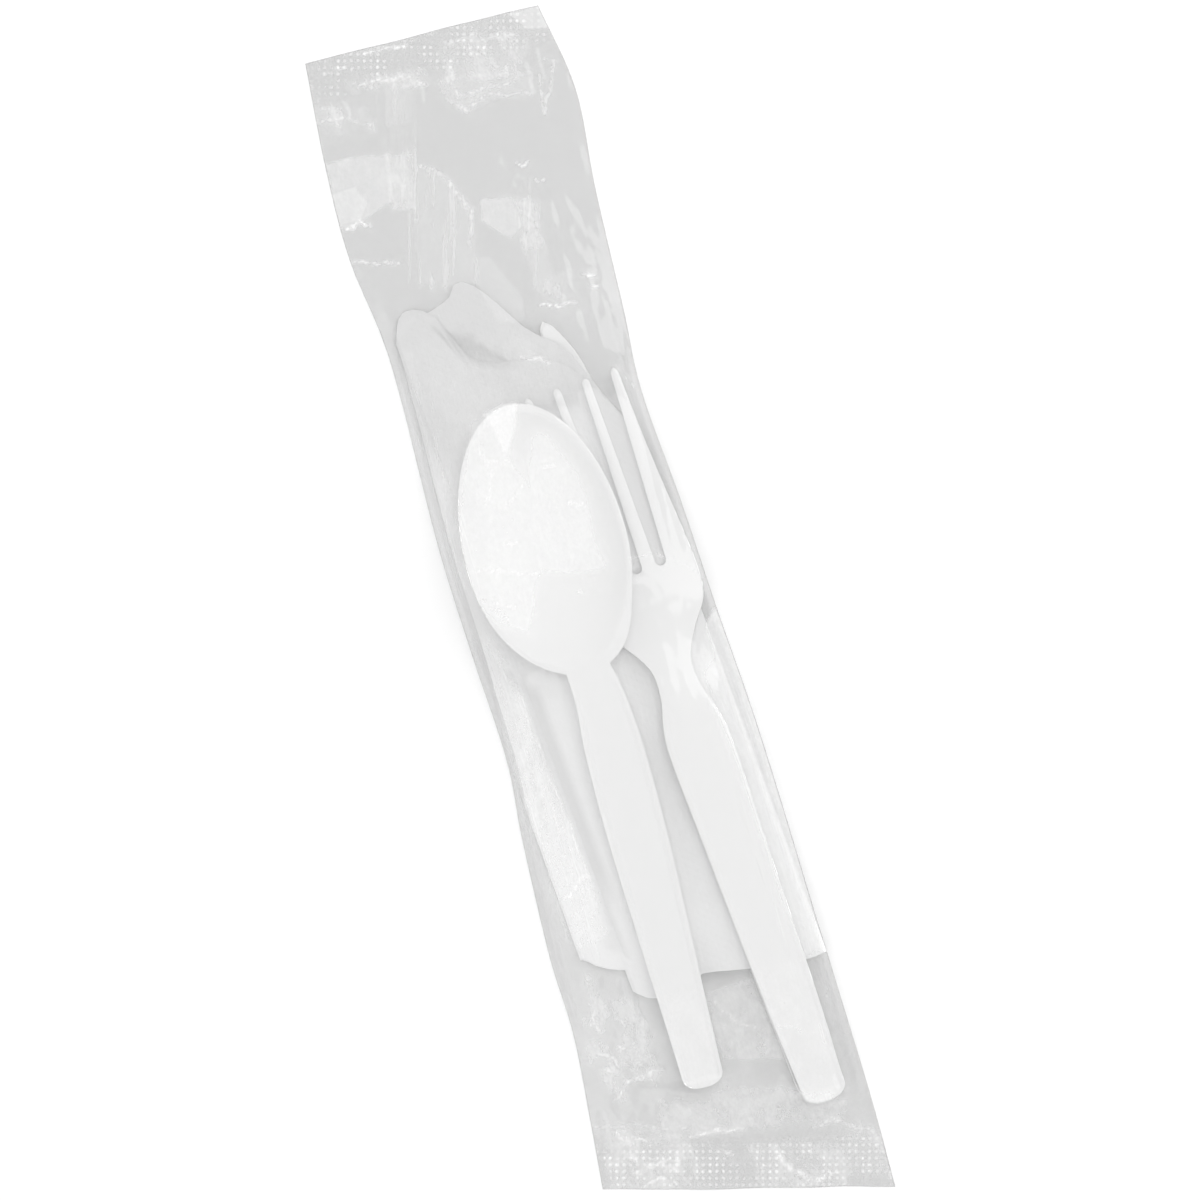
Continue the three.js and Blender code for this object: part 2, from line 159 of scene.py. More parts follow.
def inside(x, y, corners, fading):
    """1 inside a closed outline, falling to 0 at this distance outside it."""
    closed = corners + corners[:1]
    turns = np.zeros(np.shape(x), bool)
    for (ax, ay), (bx, by) in zip(closed, closed[1:]):
        crosses = (ay > y) != (by > y)
        turns ^= crosses & (x < ax + (y - ay) * (bx - ax) / (by - ay if by != ay else 1))
    distance = distance_to(x, y, closed)[0]
    return np.where(turns, 1, 1 - smoothstep(distance, 0, fading))


# ---- Meshes ----


def shaped_grid(across, along, place):
    """A bmesh grid whose points go where place(across share, along share) puts them, in millimetres."""
    bm = bmesh.new()
    bmesh.ops.create_grid(bm, x_segments=across, y_segments=along, size=0.5)
    for vert in bm.verts:
        vert.co = Vector(place(vert.co.x + 0.5, vert.co.y + 0.5)) * MM
    return bm


def piece_from(bm, name, paint, sharp=45):
    """Turns a bmesh into a smooth-shaded piece that rides on the pack."""
    mesh = bpy.data.meshes.new(name)
    bm.to_mesh(mesh)
    bm.free()
    mesh.shade_smooth()
    if sharp:
        mesh.set_sharp_from_angle(angle=math.radians(sharp))
    mesh.materials.append(paint.owner)
    piece = bpy.data.objects.new(name, mesh)
    bpy.context.scene.collection.objects.link(piece)
    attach(piece, "root")
    return piece


def put_like(bm, node, turn):
    """Turns a bmesh as its CAD node is turned, then centres it on the node's box and sets its top at the
    node's top.
    """
    bmesh.ops.rotate(bm, verts=bm.verts, cent=(0, 0, 0), matrix=Matrix.Rotation(math.radians(turn), 3, "Z"))
    low = Vector(min(vert.co[axis] for vert in bm.verts) for axis in range(3))
    high = Vector(max(vert.co[axis] for vert in bm.verts) for axis in range(3))
    cad_low, cad_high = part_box(node)
    shift = (cad_low + cad_high - low - high) / 2
    shift.z = cad_high.z - high.z
    bmesh.ops.translate(bm, verts=bm.verts, vec=shift)


def wall(piece, thickness, rounding):
    """Gives a one-sided piece its wall below the surface and rounds the rim."""
    solid = piece.modifiers.new("wall", "SOLIDIFY")
    solid.thickness = thickness * MM
    solid.offset = -1
    solid.use_quality_normals = True
    bevel = piece.modifiers.new("rounding", "BEVEL")
    bevel.width = rounding * MM
    bevel.segments = 3
    bevel.limit_method = "ANGLE"
    bevel.angle_limit = math.radians(50)
    bevel.harden_normals = False


# ---- Materials ----


class Shade:
    """A node's output that Python's operators turn into Math nodes."""

    def __init__(self, paint, socket):
        self.paint = paint
        self.socket = socket

    def math(self, operation, *values):
        return self.paint.node("ShaderNodeMath", {"operation": operation}, dict(enumerate((self, *values))))

    def __add__(self, value):
        return self.math("ADD", value)

    __radd__ = __add__

    def __sub__(self, value):
        return self.math("SUBTRACT", value)

    def __rsub__(self, value):
        return self.paint.node("ShaderNodeMath", {"operation": "SUBTRACT"}, {0: value, 1: self})

    def __mul__(self, value):
        return self.math("MULTIPLY", value)

    __rmul__ = __mul__

    def __truediv__(self, value):
        return self.math("DIVIDE", value)

    def __pow__(self, value):
        return self.math("POWER", value)

    def step(self, low, high):
        """From 0 to 1, smoothly, between low and high."""
        return self.paint.node(
            "ShaderNodeMapRange",
            {"interpolation_type": "SMOOTHSTEP"},
            {"Value": self, "From Min": low, "From Max": high},
        )


class Paint:
    """The nodes of a material or of the world."""

    def __init__(self, owner):
        owner.use_nodes = True
        owner.node_tree.nodes.clear()
        self.owner = owner
        self.tree = owner.node_tree

    def node(self, kind, settings=None, inputs=None, output=0):
        """Adds a node, sets it, then fills its sockets with values or links, and gives back one output."""
        node = self.tree.nodes.new(kind)
        for name, value in (settings or {}).items():
            setattr(node, name, value)
        for key, value in (inputs or {}).items():
            if isinstance(value, Shade):
                self.tree.links.new(value.socket, node.inputs[key])
            else:
                node.inputs[key].default_value = value
        return Shade(self, node.outputs[output])

    def place(self):
        return self.node("ShaderNodeTexCoord", output="Object")

    def turned(self, scale, turn=0.0, kind="POINT"):
        """Object coordinates, turned about Z by this many degrees and scaled."""
        inputs = {"Vector": self.place(), "Rotation": (0, 0, math.radians(turn)), "Scale": scale}
        return self.node("ShaderNodeMapping", {"vector_type": kind}, inputs)

    def leaning(self, lean, stretch):
        """Object coordinates for a pattern stretched along a line that leans this many degrees from +Y."""
        return self.turned((1, stretch, 1), lean, "TEXTURE")

    def split(self, vector):
        parts = self.node("ShaderNodeSeparateXYZ", None, {0: vector})
        return [Shade(self, socket) for socket in parts.socket.node.outputs]

    def noise(self, vector, scale, detail=3.0, roughness=0.5):
        inputs = {"Vector": vector, "Scale": scale, "Detail": detail, "Roughness": roughness}
        return self.node("ShaderNodeTexNoise", None, inputs)

    def blend(self, factor, first, second):
        """A colour between two colours."""
        settings = {"data_type": "RGBA"}
        return self.node("ShaderNodeMix", settings, {0: factor, 6: first, 7: second}, output=2)

    def attribute(self, name):
        return self.node("ShaderNodeAttribute", {"attribute_name": name}, output="Fac")

    def bump(self, height, strength, distance):
        inputs = {"Height": height, "Strength": strength, "Distance": distance}
        return self.node("ShaderNodeBump", None, inputs)

    def principled(self, inputs):
        return self.node("ShaderNodeBsdfPrincipled", None, inputs)

    def veins(self, vector, scale, width):
        """Thin crooked lines, 1 along them and 0 between."""
        away = (self.noise(vector, scale, detail=2, roughness=0.55) * 2 - 1).math("ABSOLUTE")
        return away.step(width, 0.0)

    def finish(self, shader, output_kind="ShaderNodeOutputMaterial"):
        output = self.tree.nodes.new(output_kind)
        self.tree.links.new(shader.socket, output.inputs["Surface"])
        return self


def grey(value):
    return (value, value, value, 1.0)


def moulded_plastic(name, look):
    """White moulded polystyrene: slightly uneven gloss and a faint ripple."""
    paint = Paint(bpy.data.materials.new(name))
    slow = paint.noise(paint.turned((1, 0.3, 1)), 60, detail=2)
    fine = paint.noise(paint.place(), 2200, detail=3, roughness=0.6)
    colour = paint.blend(slow, (*look.cool_white, 1), (*look.warm_white, 1))
    roughness = 0.28 + 0.14 * slow + 0.05 * fine
    height = slow * 0.6 + fine * 0.04
    normal = paint.bump(height, 0.5, 0.0004)
    looks = {"Base Color": colour, "Roughness": roughness, "Normal": normal, "IOR": 1.55}
    return paint.finish(paint.principled(looks))


def napkin_tissue(look):
    """Soft one-ply tissue: fibres, a crepe grain and rows of pressed dots; greyer where few plies lie, with
    painted shade by a fold and an edge.
    """
    paint = Paint(bpy.data.materials.new("napkin tissue"))
    grain = paint.noise(paint.turned((1, 0.25, 1), turn=-look.turn), 1500, detail=4, roughness=0.65)
    cloudy = paint.noise(paint.place(), 240, detail=3)
    across, along, _ = paint.split(paint.turned((1, 1, 1), turn=-look.turn))
    dot_pitch = 0.0019
    pitch = math.tau / dot_pitch
    rows = (across * pitch).math("SINE") * (along * pitch).math("SINE")
    pressed = rows.step(0.15, 0.75)
    colour = paint.blend(cloudy, (*look.fibre_colour, 1), (*look.tissue_colour, 1))
    # Greyer where few plies lie, and painted shade by the front panel's fold and left edge.
    colour = paint.blend(paint.attribute("thin"), colour, (*look.thin_and_shade_colour, 1))
    height = grain * 0.4 + cloudy * 0.6 - pressed * 0.12
    normal = paint.bump(height, 0.5, 0.0003)
    looks = {"Base Color": colour, "Roughness": 0.92, "Normal": normal, "Sheen Weight": 0.15}
    return paint.finish(paint.principled(looks))


def clear_film(look):
    """Thin glossy film: almost clear where it lies flat, whitish where it is creased or pressed, with painted
    highlights, glints and reflections.
    """
    paint = Paint(bpy.data.materials.new("clear film"))
    milky, streaked, slanted, crumpled, glinting, seal = [paint.attribute(name) for name in FILM_MARKS]
    across, along, _ = paint.split(paint.turned((1, 1, 1), turn=look.lean))
    # Patterns, each from 0 to 1, from fine grain to broad patches and thin lines.
    specks = paint.noise(paint.place(), 1400, detail=3, roughness=0.65)
    ragged = paint.noise(paint.turned((1, 0.7, 1), turn=10), 850, detail=4, roughness=0.6).step(0.45, 0.58)
    soft = paint.noise(paint.turned((1, 0.55, 1), turn=-15), 270, detail=5, roughness=0.65).step(0.38, 0.74)
    mottle = paint.noise(paint.turned((1, 0.5, 1), turn=-15), 430, detail=4, roughness=0.62).step(0.46, 0.74)
    patches = paint.noise(paint.turned((1, 0.8, 1), turn=25), 210, detail=3).step(0.42, 0.62)
    lines = paint.noise(paint.turned((1, 0.03, 1)), 1100, detail=3, roughness=0.6)
    slants = paint.noise(paint.leaning(-look.lean, 33), 1000, detail=3, roughness=0.6)
    web = paint.veins(paint.turned((1, 0.75, 1), turn=-20), 400, width=0.07)
    # The seals' pressed dots, in crooked rows and stronger in some patches.
    pitch = math.tau / look.dot_pitch
    shaken = across + patches * look.dot_pitch * 0.25
    dots = ((1 + (shaken * pitch).math("SINE")) * (1 + (along * pitch).math("SINE"))).step(1.2, 3.0)
    pressed = seal * dots * (0.1 + 0.9 * patches * (0.4 + mottle))
    # How white the film is, from each of its marks: real whitening of creases and pressed dots, and painted
    # highlights, glints and reflections.
    # Whitish patches: partly real whitened film, partly painted reflections of the lamps and painted light on
    # shaded film.
    white = milky * (0.72 + 0.25 * soft + 0.2 * specks)
    # Fine lengthwise and slanting lines with painted highlights along them.
    white = white + streaked * lines.step(0.5, 0.7) * 0.3 + slanted * slants.step(0.5, 0.66) * 0.3
    # Crumples: real relief, with a white mottle painted on as their glints.
    white = white + crumpled * (0.06 + 0.4 * soft + patches * (web * 0.1 + mottle * 0.3))
    # Painted glints along the creases.
    white = white + glinting * (0.3 + 0.85 * ragged)
    white = (white + pressed * look.dot_white).math("MINIMUM", 1.0)
    # Its relief.
    height = lines * (0.04 + 0.12 * streaked) + slants * slanted * 0.1
    height = height + (web * 0.3 + mottle) * (0.01 + 0.03 * crumpled)
    normal = paint.bump(height, look.crinkle, 0.0006)
    # What it hides: the tint of the clear film, which also paints the shade the film casts no shadow for, and
    # over it the white of creases and painted highlights.
    crease_and_sheen = white * look.crease_and_sheen_alpha
    alpha = 1 - (1 - look.film_alpha - seal * 0.02) * (1 - crease_and_sheen)
    colour = paint.blend(crease_and_sheen / alpha, (*look.film_colour, 1), (*look.crease_and_sheen_colour, 1))
    body = paint.principled({"Base Color": colour, "Roughness": 0.35, "Alpha": alpha, "Normal": normal})
    looks = {"Color": grey(1.0), "Roughness": look.film_roughness, "Normal": normal}
    shine = paint.node("ShaderNodeBsdfGlossy", None, looks)
    facing = paint.node("ShaderNodeLayerWeight", None, {"Blend": 0.5, "Normal": normal}, output="Facing")
    factor = (look.film_gloss + 0.8 * facing**3).math("MINIMUM", look.most_gloss)
    return paint.finish(paint.node("ShaderNodeMixShader", None, {0: factor, 1: body, 2: shine}))


def pale_floor(look):
    paint = Paint(bpy.data.materials.new("pale floor"))
    soft = paint.noise(paint.place(), 6, detail=2)
    colour = paint.blend(soft, grey(look.floor_white - 0.01), grey(look.floor_white))
    return paint.finish(paint.principled({"Base Color": colour, "Roughness": 0.8}))


# ---- Settings ----


class StageSettings(bpy.types.PropertyGroup):
    """The floor, the light and the camera."""

    floor_white: bpy.props.FloatProperty(
        name="Floor white", description="How pale the floor is", default=0.92, min=0, max=1
    )
    sky: bpy.props.FloatProperty(
        name="Surround", description="Strength of the even light from all round", default=0.58, min=0
    )
    mirrored_sky: bpy.props.FloatProperty(
        name="Mirrored surround",
        description="Strength of the surround that gloss mirrors",
        default=0.95, min=0,
    )
    lamp_power: bpy.props.FloatProperty(
        name="Lamp power",
        description="Power of all the studio lamps together",
        default=9.8, min=0, unit="POWER",
    )
    lamp_width: bpy.props.FloatProperty(
        name="Lamp width",
        description="Width of the widest studio lamp",
        default=1.0, min=0, unit="LENGTH",
    )
    view_width: bpy.props.FloatProperty(
        name="View width",
        description="How much of the floor the camera takes in",
        default=0.2514,
        min=0,
        unit="LENGTH",
    )
    view_turn: bpy.props.FloatProperty(
        name="View turn",
        description="How far the camera is turned about the upright",
        default=math.radians(-15.9),
        subtype="ANGLE",
    )


class CutlerySettings(bpy.types.PropertyGroup):
    """Sizes and colours of the spoon, fork and knife."""

    wall: bpy.props.FloatProperty(
        name="Wall", description="Thickness of the moulding, in millimetres", default=1.2, min=0.5
    )
    bead_height: bpy.props.FloatProperty(
        name="Bead height", description="Raised edge of each handle, in millimetres", default=0.3, min=0
    )
    bowl_depth: bpy.props.FloatProperty(
        name="Bowl depth", description="Depth of the spoon's bowl, in millimetres", default=4.9, min=0
    )
    cool_white: bpy.props.FloatVectorProperty(
        name="Cool white",
        description="Plastic's cooler shade",
        default=(0.925, 0.925, 0.925), subtype="COLOR",
    )
    warm_white: bpy.props.FloatVectorProperty(
        name="Warm white",
        description="Plastic's warmer shade",
        default=(0.945, 0.945, 0.942), subtype="COLOR",
    )


class NapkinSettings(bpy.types.PropertyGroup):
    """Size, lie and colours of the napkin."""

    side: bpy.props.FloatProperty(
        name="Side", description="Side of the open napkin", default=0.305, unit="LENGTH"
    )
    turn: bpy.props.FloatProperty(
        name="Turn", description="How far the folded napkin lies askew, in degrees", default=4.2
    )
    ply: bpy.props.FloatProperty(
        name="Ply", description="Thickness of the tissue, in millimetres", default=0.04, min=0.02
    )
    tissue_colour: bpy.props.FloatVectorProperty(
        name="Tissue", description="The tissue's colour", default=(0.975, 0.975, 0.975), subtype="COLOR"
    )
    # Grey for the few plies and for the painted shade.
    thin_and_shade_colour: bpy.props.FloatVectorProperty(
        name="Thin end",
        description="The tissue's colour where few plies lie",
        default=(0.6, 0.6, 0.6), subtype="COLOR",
    )
    fibre_colour: bpy.props.FloatVectorProperty(
        name="Fibres", description="Colour of the denser fibres", default=(0.95, 0.95, 0.95), subtype="COLOR"
    )


class FilmSettings(bpy.types.PropertyGroup):
    """Lie, clearness and gloss of the film."""

    clearance: bpy.props.FloatProperty(
        name="Clearance", description="Gap over what the film lies on, in millimetres", default=0.2
    )
    crinkle: bpy.props.FloatProperty(
        name="Crinkle", description="Strength of the finest creases", default=0.35, min=0, max=1
    )
    # The tint also paints the shade the film would cast, as it casts no shadow.
    film_alpha: bpy.props.FloatProperty(
        name="Tint", description="How much one layer of film hides", default=0.3, min=0, max=1
    )
    # The extra cover where the film is white, painted highlights included.
    crease_and_sheen_alpha: bpy.props.FloatProperty(
        name="Crease tint", description="How much more the whitest crease hides", default=0.8, min=0, max=1
    )
    film_gloss: bpy.props.FloatProperty(
        name="Gloss", description="Share of light mirrored straight back", default=0.06, min=0, max=1
    )
    most_gloss: bpy.props.FloatProperty(
        name="Most gloss",
        description="Share of light mirrored at a slant, at most",
        default=0.4, min=0, max=1,
    )
    film_roughness: bpy.props.FloatProperty(
        name="Blur", description="Blur of the film's reflections", default=0.1, min=0, max=1
    )
    lean: bpy.props.FloatProperty(
        name="Lean",
        description="How far the dots and the end's fine lines lean from the pack, in degrees",
        default=15.9,
    )
    dot_pitch: bpy.props.FloatProperty(
        name="Dot pitch",
        description="Spacing of the pressed dots in the seals",
        default=0.0014, unit="LENGTH",
    )
    dot_white: bpy.props.FloatProperty(
        name="Dot white", description="How white the pressed dots are", default=0.8, min=0, max=1
    )
    film_colour: bpy.props.FloatVectorProperty(
        name="Film", description="Colour of the flat film", default=(0.34, 0.34, 0.34), subtype="COLOR"
    )
    # Colour of whitened film and of its painted highlights and reflections.
    crease_and_sheen_colour: bpy.props.FloatVectorProperty(
        name="Creases", description="Colour of creased film", default=(0.87, 0.87, 0.87), subtype="COLOR"
    )


# ---- What the cutlery shares ----

HANDLE_ROUNDING = 3
RIM_ROUNDING = 0.3
BEAD_INSET = (1.1, 2.2)
BEAD_RISE = 0.12


def bead(height, across, start, y, fade):
    """How high a handle's raised edge stands. It starts at this share of the half width."""
    edge = float(smoothstep(across, start, start + BEAD_RISE)) * (0.4 + 0.6 * fade)
    inwards = 1 - float(smoothstep(y, *BEAD_INSET))
    return height * max(edge, inwards) * fade


# ---- Spoon ----

SPOON_LENGTH = 148
BOWL_CENTRE = 117
BOWL_HALF_WIDTH = 17
BOWL_TO_TIP = 31
BOWL_TO_NECK = 26
BOWL_OFFSET = -2.8
BOWL_DISHED = 0.95  # share of the bowl's reach that is dished
SPOON_TURN = -0.8
SPOON_BENDS = (82, 106)  # where the middle line leads over from the handle's to the bowl's
HANDLE_RUNS_OUT = (92, 112)
SPOON_BEAD_FADES = 12


class CUTLERYPACK_OT_spoon(bpy.types.Operator):
    """Build the spoon"""

    bl_idname = "cutlerypack.spoon"
    bl_label = "Spoon"

    def execute(self, context):
        look = context.scene.pack_cutlery
        neck = BOWL_CENTRE - BOWL_TO_NECK
        handle_half = curve_through([(0, 4.3), (6, 4.4), (54, 6.1), (74, 6), (84, 5.2), (91, 4.7), (96, 4.7)])
        height = curve_through([(0, 1.3), (45, 4.3), (82, 7.3), (100, 8.1), (SPOON_LENGTH, 7.9)])

        def half_width(y):
            reach = BOWL_TO_TIP if y > BOWL_CENTRE else BOWL_TO_NECK
            bowl = BOWL_HALF_WIDTH * math.sqrt(max(0, 1 - ((y - BOWL_CENTRE) / reach) ** 2))
            if y > BOWL_CENTRE:
                return bowl
            handle = float(handle_half(y)) * (1 - float(smoothstep(y, *HANDLE_RUNS_OUT)))
            return math.hypot(handle, bowl) * float(rounded_end(y, HANDLE_ROUNDING))

        def place(u, t):
            y = SPOON_LENGTH * (1 - math.cos(math.pi * t)) / 2
            across = math.sin(math.pi * (u - 0.5))
            x = BOWL_OFFSET * float(smoothstep(y, *SPOON_BENDS)) + across * half_width(y)
            reach = BOWL_TO_TIP if y > BOWL_CENTRE else BOWL_TO_NECK
            rim = ((x - BOWL_OFFSET) / (BOWL_HALF_WIDTH * BOWL_DISHED)) ** 2
            rim += ((y - BOWL_CENTRE) / (reach * BOWL_DISHED)) ** 2
            dish = look.bowl_depth * (1 - min(1, rim) ** 1.2)
            fade = 1 - float(smoothstep(y, neck - SPOON_BEAD_FADES, neck))
            return x, y, float(height(y)) - dish + bead(look.bead_height, abs(across), 0.74, y, fade)

        bm = shaped_grid(36, 190, place)
        bmesh.ops.remove_doubles(bm, verts=bm.verts, dist=WELD)
        put_like(bm, "spoon", SPOON_TURN)
        spoon = piece_from(bm, "spoon_body", moulded_plastic("spoon plastic", look))
        wall(spoon, look.wall, RIM_ROUNDING)
        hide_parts("spoon")
        return {"FINISHED"}


# ---- Fork ----

FORK_LENGTH = 159
FORK_ROOT = 117
FORK_TURN = 3.9
TINE_PITCH = 6.35
ROOT_PITCH = 5.3
SLOT_ROOT_HALF = 1.15
TINE_TIP_HALF = 0.8
TINE_ROUNDING = 1.3
FORK_BEAD_FADES = (80, 92)
FORK_DISH_STARTS = (98, 112)
FORK_EDGE_RISE = 0.3
TINE_CROWN = 0.22


class CUTLERYPACK_OT_fork(bpy.types.Operator):
    """Build the fork"""

    bl_idname = "cutlerypack.fork"
    bl_label = "Fork"

    columns = 8  # faces across each tine

    def execute(self, context):
        look = context.scene.pack_cutlery
        tips_half = 1.5 * TINE_PITCH + TINE_TIP_HALF
        half_width = curve_through(
            [(0, 4.6), (5, 4.7), (20, 5.4), (62, 6.4), (80, 6.7), (85, 6), (91, 4.4), (97, 4.4), (103, 7.6)]
            + [(108, 11.2), (114, 12.2), (124, 11.9), (140, 10.9)]
            + [(FORK_LENGTH - 1.6, tips_half), (FORK_LENGTH, tips_half)]
        )
        height = curve_through(
            [(0, 1.3), (45, 3.4), (86, 5), (98, 4), (108, 2.2), (118, 1.5), (132, 1.5), (FORK_LENGTH, 3.6)]
        )
        rows = self.rows()
        strips = 4 * self.columns + 3

        def limits(y):
            """Left and right limits of each tine, or of each share of the handle below the root."""
            half = float(half_width(y)) * float(rounded_end(y, HANDLE_ROUNDING))
            if y < FORK_ROOT:
                joins = [half * 2 * (i / 4 - 0.5) for i in range(5)]
                blend_in = float(smoothstep(y, 104, FORK_ROOT))
                for i in (1, 2, 3):
                    target = (i - 2) * ROOT_PITCH
                    joins[i] += (target - joins[i]) * blend_in
                return [(joins[i], joins[i + 1]) for i in range(4)]
            above = y - FORK_ROOT
            share = above / (FORK_LENGTH - FORK_ROOT)
            gap = SLOT_ROOT_HALF + (TINE_PITCH / 2 - TINE_TIP_HALF - SLOT_ROOT_HALF) * share
            if above < SLOT_ROOT_HALF:
                gap = math.sqrt(max(0, SLOT_ROOT_HALF**2 - (SLOT_ROOT_HALF - above) ** 2))
            slots = [i * (ROOT_PITCH + (TINE_PITCH - ROOT_PITCH) * share) for i in (-1, 0, 1)]
            edges = [-half]
            for slot in slots:
                edges += [slot - gap, slot + gap]
            edges.append(half)
            tip = float(rounded_end(FORK_LENGTH - y, TINE_ROUNDING))
            found = []
            for i in range(4):
                left, right = edges[2 * i], edges[2 * i + 1]
                middle, reach = (left + right) / 2, (right - left) / 2 * tip
                found.append((middle - reach, middle + reach))
            return found

        lanes = {}

        def place(u, t):
            row = round(t * (len(rows) - 1))
            y = rows[row]
            if row not in lanes:
                lanes[row] = limits(y)
            step = round(u * strips)
            tine, within = divmod(step, self.columns + 1)
            left, right = lanes[row][tine]
            x = left + (right - left) * within / self.columns
            whole = max(abs(lanes[row][0][0]), abs(lanes[row][3][1]), 0.01)
            across = abs(x) / whole
            fade = 1 - float(smoothstep(y, *FORK_BEAD_FADES))
            raised = bead(look.bead_height, across, 0.78, y, fade)
            dish = FORK_EDGE_RISE * across**2 * float(smoothstep(y, *FORK_DISH_STARTS))
            crown = 0.0
            if y > FORK_ROOT:
                middle, reach = (left + right) / 2, max((right - left) / 2, 0.01)
                rise = float(smoothstep(y, FORK_ROOT, FORK_ROOT + 8))
                crown = TINE_CROWN * rise * (1 - min(1, abs(x - middle) / reach) ** 2)
            return x, y, float(height(y)) + raised + dish + crown

        bm = shaped_grid(strips, len(rows) - 1, place)
        bm.faces.ensure_lookup_table()
        slack = 1e-4
        gaps = []
        for face in bm.faces:
            middle = face.calc_center_median() / MM
            if middle.y > FORK_ROOT + 10 * slack:
                row = next(i for i, y in enumerate(rows) if y > middle.y)
                tines = [self.halfway(lanes[row - 1][i], lanes[row][i]) for i in range(4)]
                if not any(left - slack <= middle.x <= right + slack for left, right in tines):
                    gaps.append(face)
        bmesh.ops.delete(bm, geom=gaps, context="FACES")
        bmesh.ops.remove_doubles(bm, verts=bm.verts, dist=WELD)
        put_like(bm, "fork", FORK_TURN)
        fork = piece_from(bm, "fork_body", moulded_plastic("fork plastic", look))
        wall(fork, look.wall, RIM_ROUNDING)
        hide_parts("fork")
        return {"FINISHED"}

    @staticmethod
    def halfway(first, second):
        """Limits halfway between two rows."""
        return (first[0] + second[0]) / 2, (first[1] + second[1]) / 2

    @staticmethod
    def rows():
        """Where the rows of points cross the fork: close together at its ends and round the slots' roots."""
        handle = [60 * (1 - math.cos(math.pi * i / 60 / 1.2)) for i in range(40)]
        handle = [y for y in handle if y < 60] + [60 + i * 1.5 for i in range(39)]
        handle = [y for y in handle if y < FORK_ROOT - 0.7]
        root = [FORK_ROOT + SLOT_ROOT_HALF * (1 - math.cos(math.pi / 2 * i / 6)) for i in range(7)]
        tine = [FORK_ROOT + SLOT_ROOT_HALF + i * 1.6 for i in range(1, 24)]
        tip = [FORK_LENGTH - TINE_ROUNDING * (1 - math.sin(math.pi / 2 * i / 7)) for i in range(8)]
        return handle + root + [y for y in tine if y < FORK_LENGTH - 1.6] + tip


# ---- Knife ----

KNIFE_LENGTH = 172
KNIFE_TURN = 3.9
KNIFE_HEIGHT = 1.3
BLADE_STARTS = (78, 92)
TOOTHED = (100, 158)
HALF_TOOTH = 0.8
NOTCH = 0.35


class CUTLERYPACK_OT_knife(bpy.types.Operator):
    """Build the knife"""

    bl_idname = "cutlerypack.knife"
    bl_label = "Knife"

    def execute(self, context):
        look = context.scene.pack_cutlery
        handle = [(0, 4.6), (5, 4.8), (60, 6), (74, 5.6)]
        cutting = curve_through(
            handle
            + [(82, 4.9), (88, 7.9), (92, 8.6), (130, 9), (147, 7.7), (156, 5.5), (163.5, 4.1)]
            + [(167, 2.9), (169.5, 1.8), (171, 1.1), (KNIFE_LENGTH, 0.1)]
        )
        spine = curve_through(
            handle
            + [(82, 5.4), (88, 7.2), (94, 8), (138, 8), (152, 6.4), (163, 3.5), (169, 1.5)]
            + [(171, 1), (KNIFE_LENGTH, 0.1)]
        )
        # Rows of points: close together at both ends, and two to a tooth between them.
        rows = [12 * (1 - math.cos(math.pi / 2 * i / 12)) for i in range(12)]
        rows += [12 + i * HALF_TOOTH for i in range(int((KNIFE_LENGTH - 14) / HALF_TOOTH))]
        rows += [KNIFE_LENGTH - 2 * (1 - math.sin(math.pi / 2 * i / 8)) for i in range(9)]

        def place(u, t):
            row = round(t * (len(rows) - 1))
            y = rows[row]
            ending = float(rounded_end(y, HANDLE_ROUNDING))
            notch = NOTCH if row % 2 and TOOTHED[0] < y < TOOTHED[1] else 0.0
            left, right = -float(spine(y)) * ending, float(cutting(y)) * ending - notch
            x = left + (right - left) * (1 - math.cos(math.pi * u)) / 2
            across = abs(2 * u - 1)
            blade = float(smoothstep(y, *BLADE_STARTS))
            ground = 1.2 - 0.7 * u
            raised = look.bead_height * (1 - blade) * float(smoothstep(across, 0.74, 0.88))
            return x, y, KNIFE_HEIGHT + (ground - KNIFE_HEIGHT) * blade + raised

        bm = shaped_grid(16, len(rows) - 1, place)
        bmesh.ops.remove_doubles(bm, verts=bm.verts, dist=WELD)
        put_like(bm, "knife", KNIFE_TURN)
        knife = piece_from(bm, "knife_body", moulded_plastic("knife plastic", look))
        wall(knife, 0.5 * look.wall, 0.5 * RIM_ROUNDING)
        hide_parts("knife")
        return {"FINISHED"}


# ---- Napkin ----


